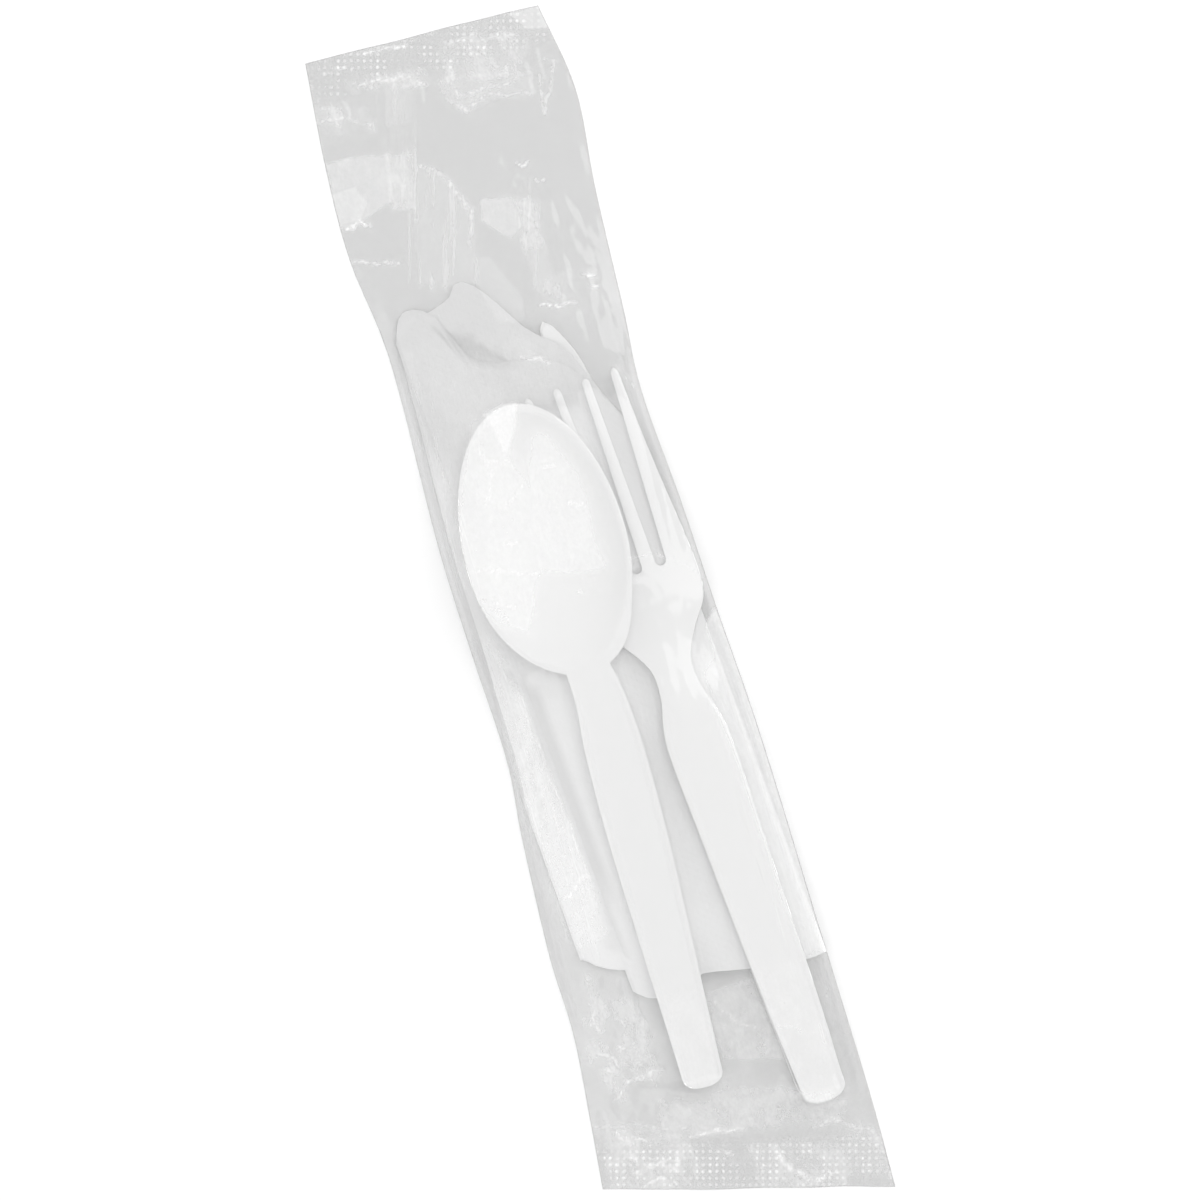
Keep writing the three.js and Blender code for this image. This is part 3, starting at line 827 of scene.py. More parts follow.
class CUTLERYPACK_OT_napkin(bpy.types.Operator):
    """Build the napkin, one sheet folded in half and then back and forth into panels"""

    bl_idname = "cutlerypack.napkin"
    bl_label = "Napkin"

    panels = 6
    panel_columns = 22
    half_rows = 84
    bottom = 0.45
    rise_over_knife = 2.1
    top = 3.75  # under the fork and spoon
    # Its outline as it lies, before it is turned.
    right_fold = 22.7
    front_folds = np.array([-18.6, -18.1, -17.8])
    back_fold = [(-69, -26.4), (-45, -26.3), (-28, -26), (-18, -25), (-9, -24), (20, -22.4), (40, -20.4)]
    back_fold += [(58, -18.6), (67, -17.6)]
    back_low = [(-27, -69.6), (-25.8, -70.3), (-19.9, -74.1), (-8, -77), (23, -82)]
    back_high = [(-27, 66), (-18, 67.2), (-4.8, 69.8), (-1.8, 72.6), (2.5, 69), (8.6, 58.2), (15.1, 50.9)]
    back_high += [(19.4, 38.7), (23, 30)]
    front_low = [(-19, -78.9), (-14.6, -82.3), (-6, -81.5), (-3.2, -80.8), (6.5, -83.1), (17.9, -85.3)]
    front_low += [(23, -85.4)]
    front_high = [(-19, 62), (-17.2, 68), (-14.3, 71), (-8.8, 67.9), (-4.5, 57), (12.8, 49.5), (19.4, 38.7)]
    front_high += [(23, 30)]
    # Corners of the shadowy dip by the front panel's upper edge, and of the shadow along its left edge.
    shaded_fold = [(-14.5, 69.5), (-9.2, 60.6), (0, 58.4), (-5.5, 63), (-9.5, 67)]
    shaded_edge = [(-18, -5), (-17, -17.7), (-15.6, -34.6), (-14, -47.2), (-13.4, -66.6), (-12.4, -66.6)]
    shaded_edge += [(-12, -47), (-13.4, -30), (-15, -10)]

    def execute(self, context):
        look = context.scene.pack_napkin
        columns = self.panels * self.panel_columns
        rows = 2 * self.half_rows
        bm = bmesh.new()
        bmesh.ops.create_grid(bm, x_segments=columns, y_segments=rows, size=0.5)
        grid = np.array([vert.co[:] for vert in bm.verts])
        step_u = np.rint((grid[:, 0] + 0.5) * columns).astype(int)
        step_v = np.rint((grid[:, 1] + 0.5) * rows).astype(int)
        p, q, layer, from_fold = self.folded(step_u, step_v)
        turn = math.radians(look.turn)
        shift = film_shift()
        x = p * math.cos(turn) - q * math.sin(turn) + shift[0]
        y = p * math.sin(turn) + q * math.cos(turn) + shift[1]
        z = self.lifted(x, y, layer, from_fold)
        # Greyness where few plies lie, and painted shade.
        thin = bm.verts.layers.float.new("thin")
        for vert, point, share in zip(bm.verts, zip(x, y, z), self.thinning_and_shade(x, y)):
            vert.co = Vector(point) * MM
            vert[thin] = float(share)
        bmesh.ops.remove_doubles(bm, verts=bm.verts, dist=FINE_WELD)
        for edge in bm.edges:
            edge.smooth = len(edge.link_faces) == 2 and edge.calc_face_angle() < math.radians(50)
        napkin = piece_from(bm, "napkin_sheet", napkin_tissue(look), sharp=0)
        ply = napkin.modifiers.new("ply", "SOLIDIFY")
        ply.thickness = look.ply * MM
        ply.offset = 0
        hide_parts("napkin")
        return {"FINISHED"}

    def folded(self, step_u, step_v):
        """Where each point of the open sheet comes to lie, in which layer, and how far from a fold."""
        panel = np.minimum(step_u // self.panel_columns, self.panels - 1)
        within = (step_u - panel * self.panel_columns) / self.panel_columns
        rightwards = panel % 2 == 0
        toward_right = np.where(rightwards, within, 1 - within)
        second = step_v > self.half_rows
        along = np.where(second, 2 * self.half_rows - step_v, step_v) / self.half_rows
        order = np.where(rightwards == second, 1, 0)
        layer = 2 * panel + order
        # A turn at each fold: the layers at a fold's ends meet halfway.
        fold = (step_u % self.panel_columns == 0) & (step_u > 0) & (step_u < self.panels * self.panel_columns)
        other = 2 * (panel - 1) + np.where((~rightwards) == second, 1, 0)
        layer = np.where(fold, (layer + other) / 2, layer)
        layer = np.where(step_v == self.half_rows, 2 * panel + 0.5 - np.where(fold, 1, 0), layer)

        back_low, back_high = curve_through(self.back_low), curve_through(self.back_high)
        front_low, front_high = curve_through(self.front_low), curve_through(self.front_high)
        height = back_low(-20) + (back_high(-20) - back_low(-20)) * along
        back_left = curve_through(self.back_fold)(height) + 0.3 * (panel % 3)
        left = np.where(panel < 3, back_left, self.front_folds[np.maximum(panel - 3, 0)])
        nest = np.where(fold, 0.16, 0.0) * np.where(order == 0, 1, 0.4)
        p = left + (self.right_fold - left) * toward_right
        p = p + np.where(toward_right > 0.5, nest, -nest)
        front = (layer > self.panels - 0.5).astype(float)
        shuffle = 0.5 * np.sin(layer * 2.4)
        q_low = back_low(p) * (1 - front) + front_low(p) * front + shuffle
        q_high = back_high(p) * (1 - front) + front_high(p) * front - shuffle
        return p, q_low + (q_high - q_low) * along, layer, np.minimum(p - left, self.right_fold - p)

    def lifted(self, x, y, layer, from_fold):
        """How high each point lies. The layers lie closer together by the folds and towards the top end."""
        low = self.bed(x, y)
        soft = cloud(x, y, 9, 14, 41) * 0.25 + folds(x, y, 12, 30, 45) * 0.14
        pinch = 0.45 + 0.55 * smoothstep(from_fold, 0, 6)
        pinch = pinch * (1 - 0.86 * smoothstep(y, 32, 62)) * (1 - 0.35 * (1 - smoothstep(y, -76, -66)))
        spare = (self.top + soft * 0.8 - low) * pinch / (2 * self.panels)
        return low + (layer + 0.5) * np.maximum(spare, 0.05)

    def thinning_and_shade(self, x, y):
        """How grey each point is, from 0 to 1: where few plies lie, and painted shade by the front panel's
        fold and along its left edge.
        """
        few = np.maximum(smoothstep(y, 34, 50), smoothstep(x, 8, 13) * smoothstep(y, 2, 12))
        # Painted shade in the dip by the front panel's upper edge.
        few = few * (0.5 + 0.5 * inside(x, y, self.shaded_fold, 0.6))
        # Painted shade along the front panel's left edge.
        return np.maximum(few, 0.5 * inside(x, y, self.shaded_edge, 1.2))

    def bed(self, x, y):
        """How low the napkin lies at each point: just over the knife, and down beside it."""
        turn = math.radians(KNIFE_TURN)
        low_corner, high_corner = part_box("knife")
        knife = (low_corner + high_corner) / (2 * MM)
        off = (x - knife.x) * math.cos(turn) + (y - knife.y) * math.sin(turn)
        along = (y - knife.y) * math.cos(turn) - (x - knife.x) * math.sin(turn)
        over = (1 - smoothstep(np.abs(off), 8.5, 17)) * (1 - smoothstep(along, 78, 96))
        return self.bottom + self.rise_over_knife * over


# ---- Film ----


def film_edges(t):
    """Points on the film's left and right edges at shares t of its length, in the pack's layout."""
    steps = np.arange(len(LEFT_EDGE))
    found = []
    for edge in (LEFT_EDGE, RIGHT_EDGE):
        position = np.asarray(t) * (len(edge) - 1)
        for axis in (0, 1):
            found.append(curve_through(list(zip(steps, [point[axis] for point in edge])))(position))
    return found


def film_shift():
    """What moves the tables' layout to the frame's."""
    points = LEFT_EDGE + RIGHT_EDGE
    low, high = FILM_BOX
    middle_x = (min(p[0] for p in points) + max(p[0] for p in points)) / 2
    middle_y = (min(p[1] for p in points) + max(p[1] for p in points)) / 2
    return (low.x + high.x) / 2 / MM - middle_x, (low.y + high.y) / 2 / MM - middle_y


# Painted glints: white strokes along the film's creases, from the top end down: path, half width, whiteness.
STROKES = [
    ([(-22.4, 128.2), (-14.8, 126.4)], 0.5, 0.35),
    ([(-13, 129.4), (-8, 129), (-3, 128)], 0.6, 0.8),
    ([(4.5, 127), (8, 126.4), (11, 127.2)], 0.5, 0.35),
    ([(12, 125.5), (16, 124.6), (20, 125)], 0.5, 0.35),
    ([(-16.8, 123.8), (-11, 123), (-5.4, 122.1), (-1.8, 119.1)], 0.6, 0.5),
    ([(-25.3, 118), (-19.8, 117.3), (-15, 114.3)], 0.6, 0.4),
    ([(-24.7, 120.6), (-21, 120), (-17.5, 119.4)], 0.4, 0.25),
    ([(0.9, 119.5), (2.2, 115), (4.4, 112), (9, 113.5), (12.2, 113.4), (18.7, 111.2)], 0.6, 0.32),
    ([(2.4, 119.5), (4.6, 114.6), (9, 115.6), (14, 115.2), (19.4, 115.6)], 0.5, 0.28),
    ([(23.8, 117.8), (26, 116.8), (23.1, 112.4), (20.6, 106.6)], 0.6, 0.35),
    ([(21.8, 117), (21.4, 111), (20.2, 106.4)], 0.4, 0.3),
    ([(-7.7, 103.3), (-3.1, 99.6), (0.2, 91.4), (-2.4, 84)], 0.7, 0.3),
    ([(-26.6, 94.6), (-23.6, 95.3), (-21.6, 93.9)], 0.5, 0.85),
    ([(-27, 87.8), (-20.8, 85.6), (-17, 84.9)], 0.5, 0.5),
    ([(11.4, 98.6), (12.9, 97.9), (14.4, 98.2)], 0.35, 0.7),
    ([(14.6, 94.2), (16.4, 93.4)], 0.35, 0.6),
    ([(9, 67.8), (12.4, 66.9), (16, 66.2)], 0.6, 0.75),
    ([(18.2, 72.4), (20.4, 71), (21.6, 71.6)], 0.35, 0.7),
    ([(19.4, 69.3), (22, 68.6)], 0.35, 0.6),
    ([(-12, 42), (-10.6, 37.6), (-12.6, 33), (-14.4, 30.6)], 0.5, 0.4),
    ([(-10.4, 38.4), (-8, 37.6), (-6.6, 38)], 0.4, 0.45),
    ([(-1.6, 35.4), (0.6, 34.9), (2.6, 34.1)], 0.5, 0.5),
    ([(2.4, 26.2), (4, 25.8), (5.8, 24.6)], 0.45, 0.6),
    ([(-9.6, 29.4), (-7.4, 30.4), (-5.4, 32.4)], 0.35, 0.35),
    ([(-13, 22), (-11.4, 21.2), (-9.8, 21.4)], 0.6, 0.5),
    ([(-19.4, 18), (-15.5, 17.2), (-10.4, 14.8), (-7, 14.4)], 0.45, 0.4),
    ([(-18.4, 10), (-16, 9.4), (-13.4, 8.2)], 0.45, 0.4),
    ([(-0.6, 8.4), (0.8, 7.4)], 0.4, 0.5),
    ([(1.6, 58.2), (4.6, 57), (7.6, 55.5)], 0.5, 0.6),
    ([(21.1, 48.4), (22.5, 45.4)], 0.35, 0.5),
    ([(12.1, 11.6), (18, 11.5), (24.4, 5.2)], 0.4, 0.2),
    ([(-18, -9.2), (-16.9, -24.4), (-15.2, -40.5), (-13.6, -56.7)], 0.4, 0.3),
    ([(-20.4, -53.2), (-17.6, -50.6), (-14.6, -49.3)], 0.5, 0.5),
    ([(2.9, -81.8), (6.4, -86.6), (11.2, -90.5)], 0.4, 0.25),
    ([(15.2, -90.9), (17.4, -91.4), (19.2, -92.8)], 0.35, 0.4),
    ([(-21.2, -77.3), (-22.3, -80), (-21, -81.9)], 0.5, 0.35),
    ([(-17.4, -79.9), (-15.1, -82.6)], 0.4, 0.25),
    ([(-23, -86.9), (-20.3, -88.2), (-19.3, -90)], 0.6, 0.35),
    ([(-18.7, -86.1), (-16.4, -87.3)], 0.4, 0.35),
    ([(-22.6, -90.2), (-20.8, -90.1)], 0.7, 0.4),
    ([(-15.9, -90), (-14.1, -91.5)], 0.5, 0.35),
    ([(-22.1, -96.6), (-17.9, -94), (-13, -93.1), (-10.8, -93.4)], 0.6, 0.45),
    ([(-24.1, -103.4), (-23.1, -105.2), (-21.1, -107.3)], 0.8, 0.6),
    ([(-21.2, -105.7), (-16.5, -107.1)], 0.5, 0.45),
    ([(-21.4, -116.4), (-18, -115.4), (-14.6, -117.9)], 0.6, 0.5),
    ([(-9.6, -109), (-4.8, -108.6), (1.4, -109.9)], 0.8, 0.85),
    ([(-4.2, -113.3), (-1.4, -115.2)], 0.35, 0.45),
    ([(-27.9, -101.4), (-18, -103.6), (-8.8, -107)], 0.3, 0.25),
    ([(16.3, -113.2), (20.1, -113.1), (28.2, -118.4)], 0.5, 0.45),
    ([(7.6, -116.9), (9.3, -121.1), (12.8, -124.7), (18.6, -124.9)], 0.9, 0.6),
    ([(-23.6, -108), (-21.8, -110.4), (-19.6, -112), (-13, -112.6)], 0.9, 0.45),
    ([(-22.4, -113), (-18, -112.6), (-12.4, -115.4)], 0.9, 0.4),
]

# Patches where the film has another look: which look, how much, width of the fading edge, corners.
# The whitish patches are partly real whitened film and partly painted reflections of the lamps in the film's
# facets; those by the fork's right side and below the napkin are painted light that brightens shaded film.
PATCHES = [
    ("milky", 0.3, 0.7, [(-26.6, 108.6), (-21.2, 108.9), (-13.6, 106.9), (-15.6, 97.8)]
     + [(-20, 96.6), (-26.6, 94.8)]),
    ("milky", 0.45, 1.0, [(-27.2, 102.6), (-22.2, 102.4), (-21, 98.6), (-23, 96.4), (-27.2, 96)]),
    ("milky", 0.18, 0.8, [(-12.8, 107), (-9, 106), (-11.6, 95.2), (-15.4, 96.4)]),
    ("milky", 0.12, 0.8, [(-9.4, 123), (-4.6, 121.8), (-7.4, 112.6), (-12, 113.8)]),
    ("milky", 0.3, 0.4, [(2.7, 93.1), (9, 91.3), (9.6, 85.5), (6.4, 83.4), (1.8, 88.5)]),
    ("milky", 0.12, 0.5, [(9.2, 90.6), (13.6, 89.1), (11.3, 81.8), (9.9, 84.6)]),
    ("milky", 0.12, 0.6, [(-7.6, 104), (-2.9, 99.4), (0.4, 91), (-3.4, 76.2), (-14.5, 79.4)]),
    ("milky", 0.16, 0.5, [(-4.3, 81.3), (0.8, 80.8), (5.2, 70.1), (4.3, 66), (-0.6, 66.6)]),
    ("milky", 0.12, 0.8, [(8.2, 82.6), (12.6, 81.3), (13, 68.5), (9.4, 70.4)]),
    ("milky", 0.4, 0.8, [(19.4, 129), (25.6, 129), (26, 124.4), (22, 124.8)]),
    ("milky", 0.14, 0.8, [(0.9, 119.8), (4.2, 111.6), (12.2, 113), (18.7, 110.8), (20, 116)]),
    ("milky", 0.6, 0.9, [(-8.8, 48.3), (-5.2, 49.2), (-2.5, 48.7), (-3.7, 45.1), (-6.7, 39.8), (-7.2, 43.8)]),
    ("milky", 0.22, 2.0, [(-8.8, 47.4), (-11.1, 46.7), (-17, 35.3), (-20.4, 25.6), (-21.7, 18.8)]
     + [(-20.6, 11.9), (-17.8, 6.3), (-12.7, 3.6), (-9, 11.2), (-5.7, 16), (-2.9, 21.1)]
     + [(-4.7, 31.8), (-6.5, 38.4)]),
    ("milky", 0.25, 2.2, [(-0.2, 40.7), (1.9, 40.2), (4, 35.6), (6.2, 27), (5.2, 17.6), (5.8, 11.8)]
     + [(3.4, 11.9), (-4.9, 14.3), (-6.3, 15.5), (-4.7, 24.8), (-2.9, 33.5)]),
    ("milky", 0.3, 3.0, [(21.4, -16), (26.8, -12), (28.6, -50), (29.6, -77), (25.5, -77), (23, -40)]),
    ("milky", 0.7, 1.4, [(26, -4), (27.8, -8), (29.6, -50), (30.6, -78), (28.6, -78), (25.6, -40), (24, -6)]),
    ("milky", 0.1, 1.0, [(-20.4, 4), (-17.6, -9), (-15.6, -38), (-13.8, -62), (-21, -64)]
     + [(-22.4, -34), (-21.6, -8)]),
    ("milky", 0.12, 0.8, [(-20.6, 66), (-22.6, 66), (-26.2, 4), (-23.8, 4)]),
    ("milky", 0.2, 1.2, [(2.8, -80), (12, -80), (13.6, -97), (2.4, -94)]),
    ("milky", 0.17, 3.0, [(-12, -101), (8, -103), (23, -110), (22, -112), (-14, -106)]),
    # The crumple patches raise fine crumples and paint glints on them.
    ("crumpled", 0.75, 1.2, [(4, 126.4), (15.4, 126), (21.6, 123), (17, 116.5), (3, 119.2)]),
    ("crumpled", 0.6, 1.0, [(-17.5, 124.8), (-2, 122.8), (-1.4, 119), (-6, 120.4), (-17.5, 122.4)]),
    ("crumpled", 0.5, 1.0, [(-13.4, 108), (-8.2, 107), (-11.2, 95), (-16, 96.2)]),
    ("crumpled", 0.5, 1.0, [(-26.4, 121), (-15, 118), (-15, 113), (-26.6, 115.6)]),
    ("crumpled", 0.5, 1.5, [(9, 91), (14.6, 89), (12, 80.4), (8.4, 81.4)]),
    ("crumpled", 0.3, 1.5, [(9, 72), (23, 74), (24, 64), (10, 64)]),
    ("crumpled", 0.14, 2.0, [(-15, 44), (-7, 46), (-6, 36), (-7, 10), (-14, 6), (-19, 26)]),
    ("crumpled", 0.14, 3.0, [(-2, 42), (6, 40), (9, 24), (4, 6), (-4, 16)]),
    ("crumpled", 0.28, 3.0, [(-16, 62), (6, 62), (8, 50), (-18, 46)]),
    ("crumpled", 0.42, 1.5, [(-21.4, 3), (-17.8, -9), (-15.6, -38), (-13.8, -62), (-22, -64)]
     + [(-24.6, -34), (-22.6, -8)]),
    ("crumpled", 0.65, 4.0, [(-21, -71), (-14.6, -73), (-12, -87), (-13, -99), (-20.6, -97), (-24, -87)]),
    ("crumpled", 0.45, 3.0, [(-25, -99), (22, -107), (27, -115), (-26, -103)]),
    ("crumpled", 0.32, 4.0, [(-20, -74), (-6, -80), (14, -80), (27, -82), (28, -108), (-26, -100)]),
    ("crumpled", 0.9, 1.5, [(-25.5, -103), (-9.3, -108.6), (-10.4, -119.6), (-28, -115)]),
    ("crumpled", 0.9, 1.5, [(3, -114.4), (21.1, -119), (19.4, -127.6), (3, -121.8)]),
    ("crumpled", 0.8, 1.5, [(21.9, -113), (28.6, -118), (29.2, -128), (20.5, -125)]),
    # The slanted and streaked patches paint highlights along fine creases; the streaked ones also lift them.
    ("slanted", 0.65, 1.5, [(-9, 106), (0.4, 93), (-3.4, 76), (-16, 78.6), (-14, 96)]),
    ("slanted", 0.5, 1.5, [(9.6, 96), (17, 94), (13.4, 70), (9, 72)]),
    ("slanted", 0.35, 1.5, [(-12, 122), (-4, 122), (-8, 104), (-14.6, 106)]),
    ("streaked", 0.8, 1.5, [(-22, 60), (-18.4, 60), (-20.4, 14), (-26, 14)]),
    ("streaked", 0.6, 1.5, [(-26.4, 6), (-19, 4), (-15, -42), (-16, -66), (-27.6, -66)]),
    ("streaked", 0.3, 3.0, [(23, -22), (27, -18), (29, -60), (28, -96), (22, -96), (21, -50)]),
    ("streaked", 0.3, 1.5, [(20, 60), (26, 60), (27, 24), (24, 24)]),
]
FILM_MARKS = ("milky", "streaked", "slanted", "crumpled", "glinting", "seal")


class CUTLERYPACK_OT_film(bpy.types.Operator):
    """Build the film wrapper over whatever the pack holds"""

    bl_idname = "cutlerypack.film"
    bl_label = "Film"

    across = 130  # faces across the upper sheet, twice those across the lower one
    along = 500
    crowding = 0.35
    bottom_seal = 0.05
    top_seal = 0.968
    floor_gap = 0.1
    lower_marks = 0.25  # how strong the marks are on the lower sheet
    drape_rounds = 2200

    def execute(self, context):
        look = context.scene.pack_film
        # Columns lie closer together along the two long edges.
        even = np.linspace(0, 1, self.across + 1)
        columns = even - self.crowding * np.sin(math.tau * even) / math.tau
        share, length = np.meshgrid(columns, np.linspace(0, 1, self.along + 1))
        left_x, left_y, right_x, right_y = film_edges(length)
        shift = film_shift()
        x = left_x + (right_x - left_x) * share + shift[0]
        y = left_y + (right_y - left_y) * share + shift[1]
        ends = np.maximum(1 - smoothstep(length, 0, 0.05), smoothstep(length, 0.97, 1))
        y = y + 0.4 * ends * cloud(x, y * 0.1, 16, 16, 75)
        seal = self.seal_mask(length)
        marks = self.marks(x, y, seal)
        top, low = self.heights(x, y, share, length, seal, marks, look)
        film = self.tube(x, y, top, low, marks, look)
        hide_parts("film_wrapper")
        # No cast shadow: the film's grey tint paints that shade instead.
        film.visible_shadow = False
        return {"FINISHED"}

    def heights(self, x, y, share, length, seal, marks, look):
        """How high the upper and the lower sheet lie at each point."""
        contents = self.contents_height(x, y)
        rim = np.minimum(share, 1 - share)
        filled = smoothstep(length, 0.1, 0.2) * (1 - smoothstep(length, 0.72, 0.8))
        edge = 0.35 + (0.15 + 1.9 * filled) * (1 - seal)
        puff = self.puff(length) * (4 * share * (1 - share)) ** 0.7
        top = self.drape(contents + look.clearance, puff + edge, edge, self.drape_rounds)
        top = top + self.wrinkles(x, y, marks) * smoothstep(rim, 0, 0.05)
        covered = contents > 0
        top = np.where(covered, np.maximum(top, contents + look.clearance * 0.7), top)
        top = np.maximum(top, self.floor_gap + 0.25)
        low = self.floor_gap + 0.12 * (1 + cloud(x, y, 14, 22, 71)) * smoothstep(rim, 0, 0.1)
        wave = self.floor_gap + 0.35 + 0.35 * cloud(x, y, 13, 40, 73)
        top = top + (wave + 0.22 - top) * seal
        low = low + (wave + 0.12 - low) * seal
        joined = np.maximum(1 - smoothstep(rim, 0, 0.03), (length == 0) | (length == 1))
        meeting = low + (top - low) * 0.8
        risen = np.maximum(1 - smoothstep(rim, 0, 0.06), joined)
        return top + (meeting - top) * joined, low + (meeting - low) * risen

    def tube(self, x, y, top, low, marks, look):
        """One closed skin: the upper sheet from left to right, then the lower sheet back."""
        around = self.across + self.across // 2
        bm = bmesh.new()
        bmesh.ops.create_grid(bm, x_segments=around, y_segments=self.along, size=0.5)
        grid = np.array([vert.co[:] for vert in bm.verts])
        step = np.rint((grid[:, 0] + 0.5) * around).astype(int)
        row = np.rint((grid[:, 1] + 0.5) * self.along).astype(int)
        upper = step <= self.across
        column = np.where(upper, step, self.across - 2 * (step - self.across))
        height = np.where(upper, top[row, column], low[row, column])
        layers = {name: bm.verts.layers.float.new(name) for name in FILM_MARKS}
        share = {}
        for name in FILM_MARKS:
            strength = np.where(upper | (name == "seal"), 1, self.lower_marks)
            share[name] = strength * marks[name][row, column]
        for i, vert in enumerate(bm.verts):
            vert.co = Vector((x[row[i], column[i]], y[row[i], column[i]], height[i])) * MM
            for name, layer in layers.items():
                vert[layer] = float(share[name][i])
        bmesh.ops.remove_doubles(bm, verts=bm.verts, dist=FINE_WELD)
        bmesh.ops.recalc_face_normals(bm, faces=bm.faces)
        return piece_from(bm, "film_skin", clear_film(look), sharp=0)

    def seal_mask(self, length):
        """1 in the pressed end seals, 0 between them."""
        bottom = 1 - smoothstep(length, self.bottom_seal * 0.85, self.bottom_seal * 1.15)
        top = smoothstep(length, 1 - (1 - self.top_seal) * 1.2, 1 - (1 - self.top_seal) * 0.85)
        return np.maximum(bottom, top)

    @staticmethod
    def marks(x, y, seal):
        """How much of each mark the film has at each point, from 0 to 1."""
        bent_x = x + 0.7 * cloud(x, y, 4, 6, 61) + 0.25 * cloud(x, y, 1.5, 2, 63)
        bent_y = y + 0.7 * cloud(x, y, 4, 6, 62) + 0.25 * cloud(x, y, 1.5, 2, 64)
        found = {name: np.zeros(x.shape) for name in FILM_MARKS}
        found["seal"] = seal
        # Each stroke paints a glint.
        for path, half_width, white in STROKES:
            distance, along = distance_to(bent_x, bent_y, path)
            reach = half_width * np.sin(np.clip(along, 0.04, 0.96) * math.pi) ** 0.5
            stroke = white * (1 - smoothstep(distance, 0.2 * reach, 0.75 * reach + 0.2))
            found["glinting"] = np.maximum(found["glinting"], stroke)
        facet_x = x + 0.3 * cloud(x, y, 5, 7, 65)
        facet_y = y + 0.3 * cloud(x, y, 5, 7, 66)
        for name, amount, fading, corners in PATCHES:
            found[name] = np.maximum(found[name], amount * inside(facet_x, facet_y, corners, fading))
        return found

    @staticmethod
    def puff(length):
        """How far the film stands up by itself in the middle, by share of its length."""
        return curve_through(
            [(0, 0), (0.05, 0), (0.08, 0.7), (0.12, 1.4), (0.3, 2.6), (0.6, 3), (0.75, 2.4)]
            + [(0.8, 1.4), (0.85, 0.8), (0.93, 0.5), (0.968, 0), (1, 0)]
        )(length)

    @staticmethod
    def contents_height(x, y):
        """The top of what the film lies on at each point, or 0."""
        depsgraph = bpy.context.evaluated_depsgraph_get()
        names = ("spoon_body", "fork_body", "knife_body", "napkin_sheet")
        trees = [BVHTree.FromObject(bpy.data.objects[name], depsgraph) for name in names]
        found = np.zeros(x.shape)
        overhead = 0.1
        down = Vector((0, 0, -1))
        for index in np.ndindex(x.shape):
            start = Vector((x[index] * MM, y[index] * MM, overhead))
            best = 0.0
            for tree in trees:
                hit = tree.ray_cast(start, down)[0]
                if hit is not None and hit.z > best:
                    best = hit.z
            found[index] = best / MM
        return found

    @staticmethod
    def drape(held, start, edge, rounds):
        """Stretched film: each point sinks to the mean of its neighbours unless something holds it up."""
        across, along = 0.34, 0.16
        z = np.maximum(held, start)
        bound = np.maximum(start * 0.55, held)
        for _ in range(rounds):
            inner = across * (z[1:-1, :-2] + z[1:-1, 2:]) + along * (z[:-2, 1:-1] + z[2:, 1:-1])
            z[1:-1, 1:-1] = np.maximum(inner, bound[1:-1, 1:-1])
            z[:, 0] = edge[:, 0]
            z[:, -1] = edge[:, -1]
            z[0], z[-1] = edge[0], edge[-1]
        return z

    @staticmethod
    def wrinkles(x, y, marks):
        """How far creases and crumples lift the film."""
        bare = np.maximum(smoothstep(y, 56, 76) * (1 - smoothstep(y, 118, 126)), 1 - smoothstep(y, -98, -84))
        ends = np.maximum(smoothstep(y, 104, 118), 1 - smoothstep(y, -116, -106))
        lift = 0.07 * folds(x, y, 4.5, 60, 11) + bare * 0.16 * folds(x, y, 15, 22, 21)
        lift = lift + (0.03 + 0.06 * bare + 0.12 * marks["crumpled"]) * folds(x, y, 4, 5, 31)
        lift = lift + 0.12 * ends * folds(x, y, 3.2, 20, 51)
        return lift + 0.05 * marks["streaked"] * folds(x, y, 2.2, 40, 53)


# ---- Stage ----


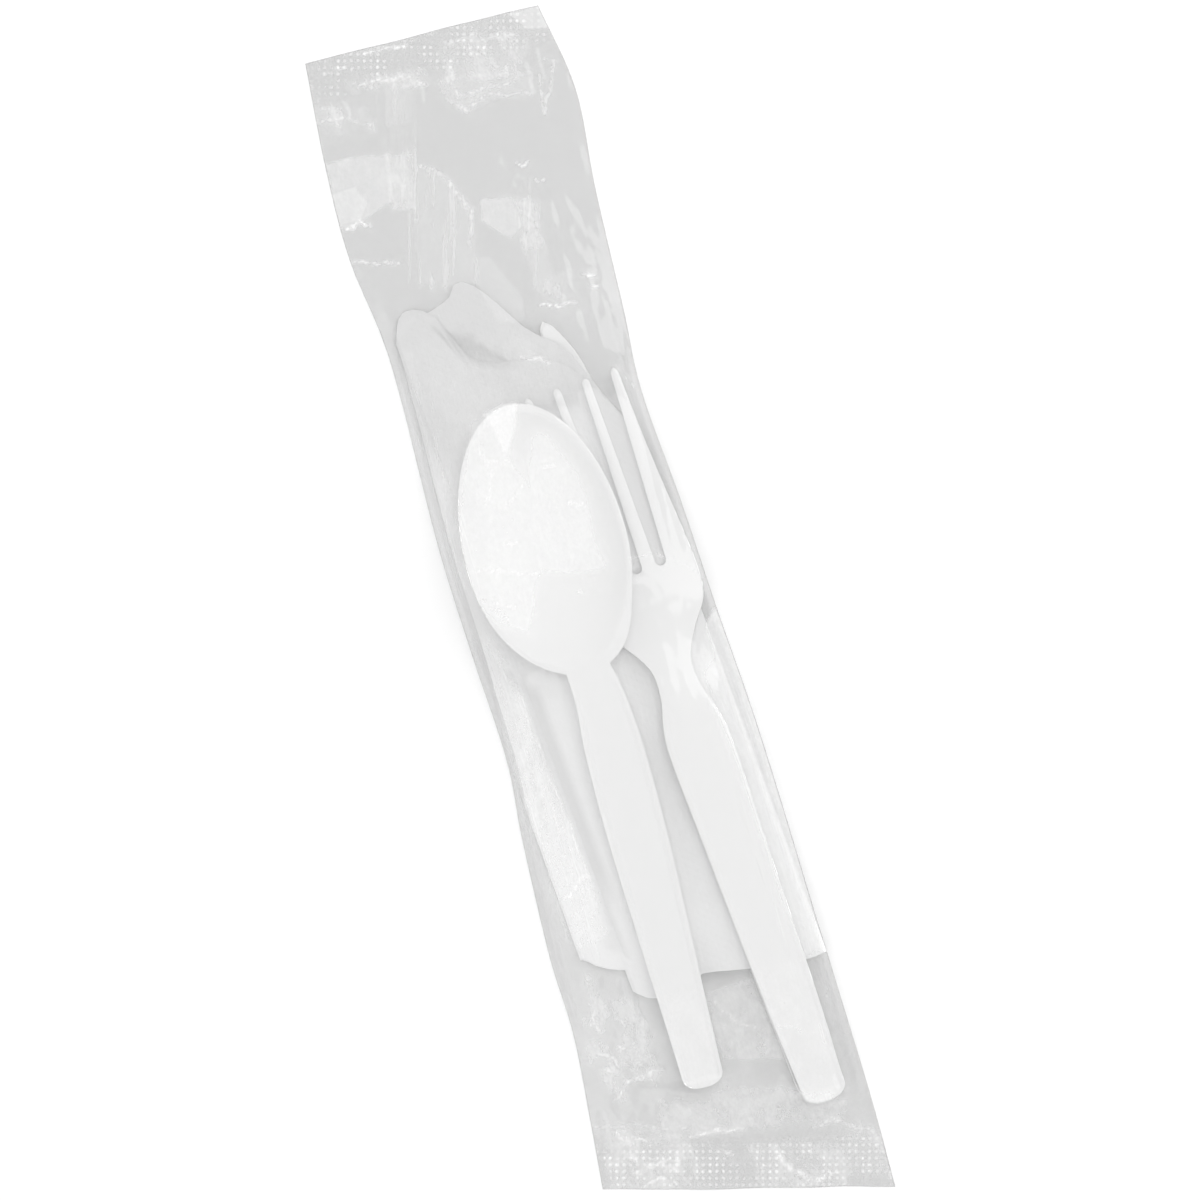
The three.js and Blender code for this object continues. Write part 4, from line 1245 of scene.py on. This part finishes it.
class CUTLERYPACK_OT_stage(bpy.types.Operator):
    """Build the floor, the light and the camera"""

    bl_idname = "cutlerypack.stage"
    bl_label = "Stage"

    # Each lamp: compass angle, angle down from overhead, share of the power and of the widest width,
    # and whether gloss mirrors it.
    lamps = [
        (22, 4, 0.45, 0.6, False),
        (22, 48, 0.28, 1.0, True),
        (200, 46, 0.16, 1.0, True),
        (110, 55, 0.05, 1.0, True),
        (60, 34, 0.06, 0.06, False),
    ]
    lamp_distance = 1.1
    floor_half = 6
    aim_offset = Vector((0.0036, 0.00504, 0))
    framed_height = 0.004

    def execute(self, context):
        look = context.scene.pack_stage
        scene = context.scene
        bm = bmesh.new()
        bmesh.ops.create_grid(bm, x_segments=1, y_segments=1, size=self.floor_half)
        mesh = bpy.data.meshes.new("floor")
        bm.to_mesh(mesh)
        bm.free()
        mesh.materials.append(pale_floor(look).owner)
        floor = bpy.data.objects.new("floor", mesh)
        scene.collection.objects.link(floor)
        for i, (compass, down, power, width, mirrored) in enumerate(self.lamps):
            light = bpy.data.lights.new(f"lamp_{i}", "AREA")
            light.shape = "DISK"
            light.size = look.lamp_width * width
            light.energy = look.lamp_power * power
            lamp = bpy.data.objects.new(light.name, light)
            lamp.visible_glossy = mirrored
            tilt, turn = math.radians(down), math.radians(compass)
            out = Vector((math.sin(tilt) * math.cos(turn), math.sin(tilt) * math.sin(turn), math.cos(tilt)))
            lamp.location = out * self.lamp_distance
            lamp.rotation_mode = "QUATERNION"
            lamp.rotation_quaternion = out.to_track_quat("Z", "Y")
            scene.collection.objects.link(lamp)
        scene.world = bpy.data.worlds.new("surround")
        scene.world.cycles.sampling_method = "NONE"
        surround = Paint(scene.world)
        mirrored = surround.node("ShaderNodeLightPath", output="Is Glossy Ray")
        strength = look.sky + (look.mirrored_sky - look.sky) * mirrored
        background = surround.node("ShaderNodeBackground", None, {"Color": grey(1.0), "Strength": strength})
        surround.finish(background, "ShaderNodeOutputWorld")
        scene.view_settings.view_transform = "Standard"
        scene.view_settings.look = "None"
        scene.cycles.transparent_max_bounces = 24
        self.camera(scene, look)
        return {"FINISHED"}

    def camera(self, scene, look):
        data = bpy.data.cameras.new("camera")
        data.lens = 100
        data.sensor_width = 36
        data.clip_start = 0.01
        camera = bpy.data.objects.new("camera", data)
        low, high = FILM_BOX
        aim = (low + high) / 2 + self.aim_offset
        distance = look.view_width * data.lens / data.sensor_width
        camera.location = (aim.x, aim.y, low.z + self.framed_height + distance)
        camera.rotation_euler = (0, 0, look.view_turn)
        scene.collection.objects.link(camera)
        scene.camera = camera


# ---- Panel ----


class CUTLERYPACK_PT_panel(bpy.types.Panel):
    """The pack's pieces, one button each"""

    bl_label = "Cutlery pack"
    bl_idname = "CUTLERYPACK_PT_panel"
    bl_space_type = "VIEW_3D"
    bl_region_type = "UI"
    bl_category = "Cutlery pack"

    def draw(self, context):
        for name, operators in PARTS:
            box = self.layout.box()
            settings = getattr(context.scene, name)
            for key in settings.bl_rna.properties.keys():
                if key not in ("name", "rna_type"):
                    box.prop(settings, key)
            for operator in operators:
                box.operator(operator.bl_idname)


SETTINGS = {
    "pack_stage": StageSettings,
    "pack_cutlery": CutlerySettings,
    "pack_napkin": NapkinSettings,
    "pack_film": FilmSettings,
}
PARTS = [
    ("pack_stage", [CUTLERYPACK_OT_stage]),
    ("pack_cutlery", [CUTLERYPACK_OT_spoon, CUTLERYPACK_OT_fork, CUTLERYPACK_OT_knife]),
    ("pack_napkin", [CUTLERYPACK_OT_napkin]),
    ("pack_film", [CUTLERYPACK_OT_film]),
]
OPERATORS = [operator for _, operators in PARTS for operator in operators]


def register():
    for settings in SETTINGS.values():
        bpy.utils.register_class(settings)
    for name, settings in SETTINGS.items():
        setattr(bpy.types.Scene, name, bpy.props.PointerProperty(type=settings))
    for operator in OPERATORS:
        bpy.utils.register_class(operator)
    bpy.utils.register_class(CUTLERYPACK_PT_panel)


def unregister():
    bpy.utils.unregister_class(CUTLERYPACK_PT_panel)
    for operator in reversed(OPERATORS):
        bpy.utils.unregister_class(operator)
    for name, settings in SETTINGS.items():
        delattr(bpy.types.Scene, name)
        bpy.utils.unregister_class(settings)


def main():
    register()
    bpy.ops.cutlerypack.stage()
    bpy.ops.cutlerypack.spoon()
    bpy.ops.cutlerypack.fork()
    bpy.ops.cutlerypack.knife()
    bpy.ops.cutlerypack.napkin()
    bpy.ops.cutlerypack.film()


if __name__ == "__main__":
    main()
